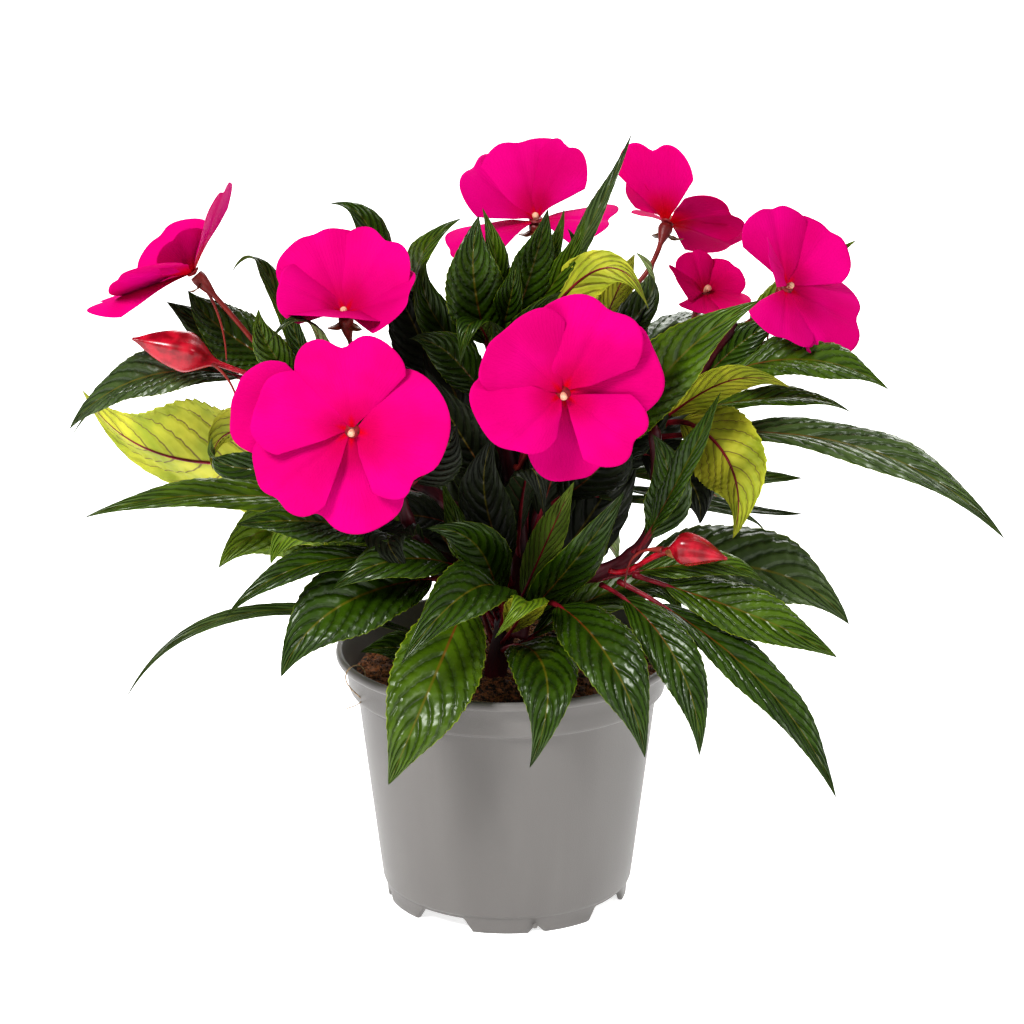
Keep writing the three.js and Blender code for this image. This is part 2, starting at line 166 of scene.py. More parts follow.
class Shader:
    """A material under construction, with one Principled surface."""

    def __init__(self, name):
        self.material = bpy.data.materials.new(name)
        self.material.use_nodes = True
        self.tree = self.material.node_tree
        self.surface = self.tree.nodes["Principled BSDF"]

    def add(self, kind, settings=None, sockets=None, output=0):
        """One node: its type, its settings, the values or links of its sockets; gives one output."""
        node = self.tree.nodes.new(kind)
        for key, setting in (settings or {}).items():
            setattr(node, key, setting)
        for key, value in (sockets or {}).items():
            self.plug(node.inputs[key], value)
        return Value(self, node.outputs[output])

    def plug(self, socket, value):
        if isinstance(value, Value):
            self.tree.links.new(value.socket, socket)
        else:
            socket.default_value = value

    def mix(self, factor, low, high):
        """A colour between two, as a Mix node."""
        return self.add("ShaderNodeMix", {"data_type": "RGBA"}, {0: factor, 6: colour(low), 7: colour(high)}, 2)

    def uv(self):
        """The piece's own coordinates: along, and across."""
        place = self.add("ShaderNodeTexCoord", output=2)
        return [self.add("ShaderNodeSeparateXYZ", sockets={0: place}, output=k) for k in (0, 1)]

    def noise(self, scale, detail=3, roughness=0.5, stretch=(1, 1, 1)):
        """Noise in metres, about 0.5, optionally stretched along the axes."""
        place = self.add("ShaderNodeTexCoord", output=3)
        place = self.add("ShaderNodeMapping", sockets={"Vector": place, "Scale": stretch})
        return self.add(
            "ShaderNodeTexNoise", {},
            {"Vector": place, "Scale": scale, "Detail": detail, "Roughness": roughness},
        )

    def finish(self, base=None, roughness=None, bump=None, bump_height=0.0002, **constants):
        """Links what varies, sets what doesn't, and gives the material."""
        if base is not None:
            self.plug(self.surface.inputs["Base Color"], base if isinstance(base, Value) else colour(base))
        if roughness is not None:
            self.plug(self.surface.inputs["Roughness"], roughness)
        if bump is not None:
            normal = self.add("ShaderNodeBump", {}, {"Distance": bump_height, "Height": bump})
            self.plug(self.surface.inputs["Normal"], normal)
        for key, value in constants.items():
            self.surface.inputs[key.replace("_", " ")].default_value = value
        return self.material


def colour(value):
    return value if isinstance(value, Value) or len(value) == 4 else (*value, 1)


# %% [markdown]
# ## Meshes from grids
#
# Nearly every piece here is a skin over a row of closed loops: a stem is a row of circles, a leaf is a row of
# thin flat loops, and a pot is a row of cross-sections turned round the axis. One function turns such a grid
# of points into a mesh, with a single point closing each end.

# %% Skins
def put_mesh(name, points, quads, triangles, material, uv=None, marks=None, smooth=True):
    """A mesh object at the origin from whole arrays of points and faces."""
    mesh = bpy.data.meshes.new(name)
    loops = np.concatenate([quads.ravel(), triangles.ravel()]).astype(np.int32)
    starts = np.concatenate([
        np.arange(len(quads)) * 4, len(quads) * 4 + np.arange(len(triangles)) * 3,
    ]).astype(np.int32)
    mesh.vertices.add(len(points))
    mesh.vertices.foreach_set("co", np.ascontiguousarray(points, dtype=np.float32).ravel())
    mesh.loops.add(len(loops))
    mesh.loops.foreach_set("vertex_index", loops)
    mesh.polygons.add(len(starts))
    mesh.polygons.foreach_set("loop_start", starts)
    mesh.update(calc_edges=True)
    mesh.validate()
    if uv is not None:
        layer = mesh.uv_layers.new(name="surface")
        order = np.empty(len(mesh.loops), dtype=np.int32)
        mesh.loops.foreach_get("vertex_index", order)
        layer.data.foreach_set("uv", uv[order].astype(np.float32).ravel())
    for mark, values in (marks or {}).items():
        mesh.attributes.new(mark, "FLOAT", "POINT").data.foreach_set("value", values.astype(np.float32))
    mesh.polygons.foreach_set("use_smooth", np.full(len(mesh.polygons), smooth))
    mesh.materials.append(material)
    piece = bpy.data.objects.new(name, mesh)
    bpy.context.collection.objects.link(piece)
    return piece


def skin(rings):
    """Points, quads and triangles of a closed skin over rings shaped (rows, sides, 3).

    Each ring joins the next, and a point at the middle of the first and last ring closes each end.
    """
    rows, sides = rings.shape[:2]
    points = np.concatenate([rings.reshape(-1, 3), rings[:1].mean(axis=1), rings[-1:].mean(axis=1)])
    row, side = np.meshgrid(np.arange(rows - 1), np.arange(sides), indexing="ij")
    after = (side + 1) % sides
    quads = np.stack(
        [row * sides + side, row * sides + after, (row + 1) * sides + after, (row + 1) * sides + side], axis=-1
    ).reshape(-1, 4)
    around = np.arange(sides)
    following = (around + 1) % sides
    last = (rows - 1) * sides
    start_cap = np.stack([following, around, np.full(sides, rows * sides)], axis=-1)
    end_cap = np.stack([last + around, last + following, np.full(sides, rows * sides + 1)], axis=-1)
    return points, quads, np.concatenate([start_cap, end_cap])


def with_ends(values):
    """Values shaped (rows, sides, k) in the order of skin()'s points, the ends taking their ring's mean."""
    return np.concatenate([
        values.reshape(-1, values.shape[-1]), values[:1].mean(axis=1), values[-1:].mean(axis=1),
    ])


def unit(vectors):
    return vectors / np.maximum(np.linalg.norm(vectors, axis=-1, keepdims=True), 1e-12)


def tangents(path):
    return unit(np.gradient(path, axis=0))


def carried(path, start_side):
    """A side vector at each point of a path, turned only as much as the path turns."""
    along = tangents(path)
    sides = [unit(start_side - along[0] * np.dot(along[0], start_side))]
    for tangent in along[1:]:
        side = sides[-1] - tangent * np.dot(tangent, sides[-1])
        sides.append(unit(side))
    return np.array(sides)


def tube(path, radii, sides=12, squash=1.0):
    """Rings of radius radii round a path; squash flattens them across the carried side."""
    along = tangents(path)
    helper = np.array([0.3, 0.2, 1.0]) if abs(along[0][2]) < 0.8 else np.array([1.0, 0.2, 0.1])
    side = carried(path, np.cross(along[0], helper))
    other = np.cross(along, side)
    angle = np.linspace(0, 2 * math.pi, sides, endpoint=False)
    radii = np.broadcast_to(radii, len(path))[:, None, None]
    ring = side[:, None] * np.cos(angle)[None, :, None] + squash * other[:, None] * np.sin(angle)[None, :, None]
    return path[:, None] + radii * ring


def smooth_path(points, count, degree=3):
    """A polynomial through a few points, in step with the distance along them."""
    lengths = np.concatenate([[0], np.cumsum(np.linalg.norm(np.diff(points, axis=0), axis=1))])
    at = lengths / lengths[-1]
    weights = np.ones(len(at))
    weights[[0, -1]] = 20
    fine = np.linspace(0, 1, count)
    return np.stack([np.polyval(np.polyfit(at, points[:, k], degree, w=weights), fine) for k in range(3)], axis=-1)


def ease(low, high, value):
    """0 below low, 1 above high, and a smooth rise between."""
    share = np.clip((value - low) / (high - low), 0, 1)
    return share * share * (3 - 2 * share)


# %% [markdown]
# ## Reading the frame's solids
#
# Each plant solid in the frame is a loft: rings of the same number of points with a single point at each end.
# Counting steps along the edges from an end point gives the rings back in order, and from them the centre
# line, the edges and the side that each blade looks to.

# %% Rings of a frame node
WELD = 1e-5


def welded(node):
    """A node's points with equal ones merged, and its triangles."""
    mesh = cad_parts[node].data
    points = np.empty(3 * len(mesh.vertices), dtype=np.float32)
    mesh.vertices.foreach_get("co", points)
    mesh.calc_loop_triangles()
    corners = np.empty(3 * len(mesh.loop_triangles), dtype=np.int32)
    mesh.loop_triangles.foreach_get("vertices", corners)
    keys = np.round(points.reshape(-1, 3) / WELD).astype(np.int64)
    _, first, merged = np.unique(keys, axis=0, return_index=True, return_inverse=True)
    return points.reshape(-1, 3)[first].astype(float), merged.ravel()[corners].reshape(-1, 3)


def steps_from(start, neighbours):
    """Layers of points by their number of edges from a start point."""
    seen, layers = {start}, [[start]]
    while True:
        reached = sorted({n for point in layers[-1] for n in neighbours[point]} - seen)
        if not reached:
            return layers
        seen.update(reached)
        layers.append(reached)


def walk_round(ring, neighbours):
    """A ring's points in order round it."""
    order, left = [ring[0]], set(ring[1:])
    while left:
        near = sorted(neighbours[order[-1]] & left)
        if not near:
            break
        order.append(near[0])
        left.remove(near[0])
    return order


def read_rings(node):
    """Rings shaped (rows, sides, 3) and the two end points, the base first.

    The base is the end whose point lies in the plane of its ring: the tip stands beyond its ring. Where
    both do, the base is the end with the wider ring.
    """
    points, triangles = welded(node)
    neighbours = [set() for _ in points]
    for a, b, c in triangles:
        neighbours[a].update((b, c))
        neighbours[b].update((a, c))
        neighbours[c].update((a, b))
    for start in range(len(points)):
        layers = steps_from(start, neighbours)
        sizes = [len(layer) for layer in layers]
        if len(sizes) > 3 and sizes[-1] == 1 and len(set(sizes[1:-1])) == 1 and sizes[1] > 3:
            break
    else:
        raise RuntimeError(f"{node} isn't a loft")
    rings = [points[walk_round(layer, neighbours)] for layer in layers[1:-1]]
    for row in range(1, len(rings)):
        before, ring = rings[row - 1], rings[row]
        choices = [np.roll(turned, k, axis=0) for turned in (ring, ring[::-1]) for k in range(len(ring))]
        offsets = [np.sum((c - c.mean(0) - before + before.mean(0)) ** 2) for c in choices]
        rings[row] = choices[int(np.argmin(offsets))]
    rings = np.array(rings)
    ends = points[[layers[0][0], layers[-1][0]]]
    beyond = [np.linalg.norm(ends[0] - rings[0].mean(0)), np.linalg.norm(ends[1] - rings[-1].mean(0))]
    width = [np.ptp(rings[0], axis=0).max(), np.ptp(rings[-1], axis=0).max()]
    flip = beyond[0] > beyond[1] + 0.5 * MM or (abs(beyond[0] - beyond[1]) <= 0.5 * MM and width[0] < width[1])
    if flip:
        rings, ends = rings[::-1], ends[::-1]
    return rings, ends[0], ends[1]


def read_blade(node):
    """A blade's midrib points, unit directions across it and half widths, from its rings of four.

    The wider pair of a ring are its edges. They stand up towards the side that the blade looks to, which
    tells the upper side from the lower one.
    """
    rings, base, tip = read_rings(node)
    widest = int(np.argmax([np.ptp(r, axis=0).max() for r in rings]))
    if np.linalg.norm(rings[widest, 0] - rings[widest, 2]) < np.linalg.norm(rings[widest, 1] - rings[widest, 3]):
        rings = np.roll(rings, 1, axis=1)
    spine = (rings[:, 1] + rings[:, 3]) / 2
    wings = (rings[:, 0] + rings[:, 2]) / 2
    span = rings[:, 2] - rings[:, 0]
    path = np.concatenate([[base], spine[1:], [tip]])
    along = unit(np.gradient(np.concatenate([spine, [tip]]), axis=0))[:-1]
    looks = np.cross(unit(span), along)
    if np.sum((looks * (wings - spine))[2:]) < 0:
        span = -span
    half = np.linalg.norm(span, axis=1) / 2
    return {
        "path": path, "across": np.concatenate([unit(span), unit(span[-1:])]), "half": half.max(),
        "cup": float(np.mean(np.linalg.norm((wings - spine)[3:], axis=1) / half[3:])),
    }


shoots = {}
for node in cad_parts:
    if node == "main_stem" or node.startswith("shoot_"):
        rings, _, _ = read_rings(node)
        middle = rings.mean(axis=1)
        shoots[node] = {"path": middle, "radius": np.linalg.norm(rings[:, 0] - middle, axis=1)}
leaf_nodes = sorted(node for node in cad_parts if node.startswith("leaf_"))
print("shoots", {name: len(shoot["path"]) for name, shoot in shoots.items()})
print("leaves", len(leaf_nodes), "first", {k: np.round(v, 3).tolist() for k, v in read_blade(leaf_nodes[0]).items()
                                          if k in ("half", "cup")})

# %% [markdown]
# ## The leaf's finish
#
# A leaf has two faces. The upper one is dark, glossy and quilted, with sunken veins that arch towards the tip,
# a fine yellow-green margin and a rib that reddens near the stalk. The lower one is pale and shows the veins
# dark purple. Both are drawn on the leaf's own coordinates: `along` runs from stalk to tip, `across` from edge
# to edge. The veins use the same formula as the quilting in the mesh. The upper face carries painted shade in
# the sunken vein grooves and painted light on the puffs between them, so colour and relief agree.

# %% Leaf material
VEINS = 9                      # side veins on each half of a blade
VEIN_ARCH = 0.34               # how far a vein runs forward on its way to the margin
VEIN_BEND = 1.3


def leaf_finish(name, dark, light, under_dark, under_light, margin, gloss=0.3):
    shader = Shader(name)
    shadow = tuple(0.45 * part for part in dark)
    along, across = shader.uv()
    side = abs(across * 2 - 1)
    below = shader.add("ShaderNodeAttribute", {"attribute_name": "underside"}, output=2)
    vein = ((along - VEIN_ARCH * side ** VEIN_BEND) * VEINS).pingpong(0.5)
    blotch = shader.noise(70)
    patch = shader.noise(420, 4, 0.7)
    ribs = side.step(0.045, 0.015)
    # painted light and shade: the puffs between the veins are lighter, and the vein grooves are darkened to the painted
    # shade colour
    upper = shader.mix(blotch.step(0.35, 0.7) * 0.6 + vein.step(0.0, 0.45) * 0.4, dark, light)
    upper = shader.mix(patch.step(0.6, 0.75) * 0.2, upper, dark)
    upper = shader.mix(vein.step(0.1, 0.0) * side.step(1.0, 0.6) * 0.65, upper, shadow)
    upper = shader.mix(ribs * 0.7, upper, shader.mix(along.step(0.1, 0.5), (0.16, 0.015, 0.008), (0.1, 0.085, 0.006)))
    lower = shader.mix(blotch.step(0.3, 0.7), under_dark, under_light)
    lower = shader.mix(vein.step(0.07, 0.02) * side.step(1.0, 0.7) * 0.75, lower, (0.07, 0.02, 0.015))
    lower = shader.mix(ribs * 0.9, lower, (0.12, 0.012, 0.02))
    base = shader.mix(below.step(0.4, 0.6), upper, lower)
    base = shader.mix(side.step(0.96, 0.995) * 0.75, base, margin)
    roughness = gloss + below.step(0.4, 0.6) * 0.25 + (patch - 0.5) * 0.15
    return shader.finish(base, roughness, bump=vein.step(0.0, 0.3), bump_height=0.0005,
                         Specular_IOR_Level=0.3)


LEAF_FINISHES = [
    leaf_finish("leaf_deep", (0.01, 0.024, 0.0008), (0.028, 0.06, 0.0016),
                (0.05, 0.09, 0.01), (0.1, 0.17, 0.02), (0.17, 0.22, 0.012), 0.3),
    leaf_finish("leaf_fresh", (0.022, 0.046, 0.001), (0.058, 0.105, 0.003),
                (0.09, 0.15, 0.012), (0.15, 0.22, 0.025), (0.24, 0.29, 0.015), 0.32),
    # painted sheen: a blue-grey green that stands for the white surround reflected off glossy upper faces
    leaf_finish("leaf_grey", (0.018, 0.034, 0.006), (0.05, 0.08, 0.018),
                (0.12, 0.17, 0.05), (0.2, 0.26, 0.09), (0.24, 0.28, 0.06), 0.3),
    # painted light: a pale underside, made much brighter and yellower to stand for light shining through backlit leaves
    leaf_finish("leaf_bright", (0.06, 0.11, 0.003), (0.12, 0.18, 0.006),
                (0.22, 0.26, 0.012), (0.42, 0.41, 0.03), (0.42, 0.44, 0.03), 0.38),
    # painted shade: a near-black green for leaves deep in the plant, where only shade falls
    leaf_finish("leaf_shaded", (0.003, 0.005, 0.0005), (0.008, 0.013, 0.001),
                (0.01, 0.02, 0.002), (0.02, 0.035, 0.004), (0.04, 0.06, 0.005), 0.5),
]
print("leaf finishes", len(LEAF_FINISHES))

# %% [markdown]
# ## Stems
#
# The shoots are fleshy and crimson, and a little thicker at each place where a leaf springs. A petiole is the
# same flesh, thinner.

# %% Stem material
def stem_finish(name, dark, light, gloss):
    shader = Shader(name)
    streak = shader.noise(180, 4, stretch=(1, 1, 0.15))
    pores = shader.noise(1500, 2)
    base = shader.mix(streak.step(0.3, 0.72), dark, light)
    return shader.finish(base, gloss + (pores - 0.5) * 0.2, bump=pores + streak, bump_height=0.0001,
                         Specular_IOR_Level=0.25)


STEM = stem_finish("stem_crimson", (0.016, 0.002, 0.004), (0.07, 0.004, 0.01), 0.42)
PETIOLE = stem_finish("petiole_red", (0.08, 0.003, 0.008), (0.2, 0.008, 0.018), 0.38)
STALK = stem_finish("flower_stalk", (0.1, 0.008, 0.008), (0.2, 0.025, 0.018), 0.4)

# %% [markdown]
# ## Leaves
#
# A blade is worked out on a grid of two parameters. `s` runs from its foot to its tip and `v` from edge to
# edge. The outline swells early and runs out into a long point. Fine teeth break the edge. The surface between
# two veins puffs up, the edges stand a little higher than the rib and wave, and the whole blade twists slowly.
# Upper and lower skins share their edges, so the leaf is one closed thin sheet, as the real one is. The
# petiole runs on under the blade as its midrib.

# %% The blade's grid
BLADE_ROWS = 97
BLADE_SHARES = np.concatenate([[-1, -0.975], np.linspace(-0.9, 0.9, 15), [0.975, 1]])
TEETH = 21
BLADE_THICKNESS = 0.45 * MM


def outline(s):
    """Half width of a blade as a share of its largest: an early swelling and a drawn-out tip."""
    body = np.sin(math.pi * np.clip(s, 0, 1) ** 0.8) ** 0.9
    return body * (1 - 0.3 * ease(0.6, 0.97, s))


def relief(s, v):
    """Puffed quilting between arching side veins, fading at the rib and the margin."""
    side = np.abs(v)
    vein = np.abs(np.sin(math.pi * (s - VEIN_ARCH * side ** VEIN_BEND) * VEINS))
    return vein ** 0.7 * ease(0, 0.35, side) * (1 - ease(0.75, 1, side)) * ease(0.02, 0.15, s)


def make_leaf(name, blade, finish, petiole_share=0.16, wave=0.1, twist=0.0, puff=1.6, detail=1.0):
    """A leaf from a midrib path, directions across it, a half width and a cup."""
    rows = int(BLADE_ROWS * detail)
    teeth = max(int(TEETH * detail), 8)
    path = smooth_path(blade["path"], 160)
    along = tangents(path)
    place = np.linspace(0, 1, len(blade["across"]))
    across = np.stack([np.interp(np.linspace(0, 1, 160), place, blade["across"][:, k]) for k in range(3)], -1)
    across = unit(across - along * np.sum(across * along, axis=1, keepdims=True))
    up = np.cross(across, along)

    at = np.linspace(petiole_share, 0.995, rows)
    fine = np.linspace(0, 1, 160)
    pick = lambda field: np.stack([np.interp(at, fine, field[:, k]) for k in range(3)], axis=-1)
    spine, over, rise = pick(path), unit(pick(across)), unit(pick(up))
    s = np.linspace(0, 1, rows)
    half = blade["half"] * outline(s) / outline(np.linspace(0, 1, 200)).max()
    saw = 1 - np.mod(s * teeth, 1)
    half = half * (1 - 0.05 * saw * ease(0.05, 0.15, s)) + 0.5 * MM * (1 - ease(0, 0.1, s))
    turn = twist * s ** 1.5
    over, rise = (over * np.cos(turn)[:, None] + rise * np.sin(turn)[:, None],
                  rise * np.cos(turn)[:, None] - over * np.sin(turn)[:, None])

    v = BLADE_SHARES
    grid_s, grid_v = np.meshgrid(s, v, indexing="ij")
    side = np.abs(grid_v)
    phase = random.uniform(0, 2 * math.pi, 2)
    ripple = np.where(grid_v < 0, np.sin(2 * math.pi * 2.3 * grid_s + phase[0]),
                      np.sin(2 * math.pi * 1.9 * grid_s + phase[1]))
    lift = half[:, None] * (blade["cup"] * side ** 1.3 - 0.12 * ease(0.7, 1, side) + wave * ripple * side ** 2)
    lift = lift + puff * MM * min(1, blade["half"] / (13 * MM)) * relief(grid_s, grid_v) * (half / blade["half"])[:, None]
    centre = spine[:, None] + over[:, None] * (half[:, None] * grid_v)[..., None] + rise[:, None] * lift[..., None]
    thick = BLADE_THICKNESS * (1 - 0.8 * side ** 3) * (0.15 + 0.85 * ease(0, 0.1, 1 - grid_s))
    top = centre + rise[:, None] * (thick / 2)[..., None]
    bottom = centre - rise[:, None] * (thick / 2)[..., None]
    top[:, [0, -1]] = centre[:, [0, -1]]
    loop = np.concatenate([top, bottom[:, -2:0:-1]], axis=1)
    shares = np.concatenate([v, v[-2:0:-1]])
    below = np.concatenate([np.zeros(len(v)), np.ones(len(v) - 2)])
    below[[0, len(v) - 1]] = 0.5
    points, quads, triangles = skin(loop)
    grids = np.stack(np.broadcast_arrays(s[:, None], (shares[None] + 1) / 2, below[None]), axis=-1)
    values = with_ends(grids)

    stalk_at = np.linspace(0, 0.93, 40)
    stalk_path = np.stack([np.interp(stalk_at, fine, path[:, k]) for k in range(3)], axis=-1)
    stalk_up = unit(np.stack([np.interp(stalk_at, fine, up[:, k]) for k in range(3)], axis=-1))
    size = min(1.0, blade["half"] / (12 * MM))
    radius = size * np.interp(stalk_at, [0, 0.06, petiole_share, 0.45, 0.93], [1.5, 1.1, 1.05, 0.6, 0.15]) * MM
    sunk = ease(petiole_share - 0.04, petiole_share + 0.08, stalk_at)[:, None] * (0.8 * radius[:, None])
    stalk = tube(stalk_path - stalk_up * sunk, radius, 8)
    more_points, more_quads, more_triangles = skin(stalk)
    more_values = np.zeros((len(more_points), 3))
    shift = len(points)
    piece = put_mesh(
        name, np.concatenate([points, more_points]), np.concatenate([quads, more_quads + shift]),
        np.concatenate([triangles, more_triangles + shift]), finish,
        uv=np.concatenate([values[:, :2], more_values[:, :2]]),
        marks={"underside": np.concatenate([values[:, 2], more_values[:, 2]])},
    )
    piece.data.materials.append(PETIOLE)
    faces = np.zeros(len(piece.data.polygons), dtype=np.int32)
    first_vertex = np.empty(len(piece.data.loops), dtype=np.int32)
    piece.data.loops.foreach_get("vertex_index", first_vertex)
    starts = np.empty(len(piece.data.polygons), dtype=np.int32)
    piece.data.polygons.foreach_get("loop_start", starts)
    faces[first_vertex[starts] >= shift] = 1
    piece.data.polygons.foreach_set("material_index", faces)
    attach(piece, "root")
    return piece


# %% [markdown]
# Each leaf of the frame gets its blade. A few are told apart: some are seen from below and are brighter, their
# pale undersides carrying painted light that stands for light shining through them; the broad one at the right
# and a few more are greyer, a painted sheen of reflected light; and the ones that hang over the rim are deep green.

# %% Leaves of the frame
UNDERSIDE_PAINTED_BACKLIGHT = {"leaf_left_translucent", "leaf_right_underside", "leaf_left_hanging"}
GREY_PAINTED_SHEEN = {"leaf_right_broad", "leaf_left_thin_arched", "leaf_left_pointing", "leaf_top_tall", "leaf_right_longest"}
FRESH = {"leaf_beside_flower_2", "leaf_right_upper", "leaf_left_low", "leaf_over_rim_left", "leaf_right_low"}
BROADER = {"leaf_left_translucent": 1.35, "leaf_left_hanging": 1.3}
triangle_count = 0
for node in leaf_nodes:
    kind = 3 if node in UNDERSIDE_PAINTED_BACKLIGHT else 2 if node in GREY_PAINTED_SHEEN else 1 if node in FRESH else 0
    twist = random.uniform(-0.35, 0.35)
    blade = read_blade(node)
    blade["half"] *= BROADER.get(node, 1)
    piece = make_leaf(node + "_blade", blade, LEAF_FINISHES[kind], twist=twist)
    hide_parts(node)
    triangle_count += 2 * len(piece.data.polygons)
print("frame leaves", len(leaf_nodes), "triangles", triangle_count)

# %% [markdown]
# ## Smaller leaves
#
# The frame holds the larger leaves. The plant has as many small ones: young leaves packed round the top of the
# main stem, and leaves deep in the plant that close it up. Most of the deep ones are near-black, which is painted
# shade. Each is given by the shoot that it springs from, how far along, the point where it bends, its tip, its
# width, the way that its upper side looks and its finish. Places are in millimetres, as a gardener would measure
# them from the pot's axis at the ground.

# %% A planned leaf
def site(shoot, at, towards):
    """The point on a shoot's skin, a share of the way along, that faces a given point."""
    path, radius = shoots[shoot]["path"], shoots[shoot]["radius"]
    place = np.linspace(0, 1, len(path))
    centre = np.array([np.interp(at, place, path[:, k]) for k in range(3)])
    axis = np.array([np.interp(at, place, tangents(path)[:, k]) for k in range(3)])
    out = towards - centre
    out = unit(out - axis * np.dot(out, axis))
    return centre + out * np.interp(at, place, radius) * 0.8


def planned_blade(shoot, at, bend, tip, width, faces, cup=0.28):
    """A midrib through a site, a bend and a tip: the one parabola that passes through all three."""
    bend, tip = np.array(bend) * MM, np.array(tip) * MM
    start = site(shoot, at, bend)
    t = np.linspace(0, 1, 24)[:, None]
    control = 2 * bend - (start + tip) / 2
    path = (1 - t) ** 2 * start + 2 * t * (1 - t) * control + t ** 2 * tip
    along = tangents(path)
    middle = unit(np.cross(along[14], np.array(faces, dtype=float)))
    across = unit(middle - along * np.sum(middle * along, axis=1, keepdims=True))
    return {"path": path, "across": across, "half": width / 2 * MM, "cup": cup}


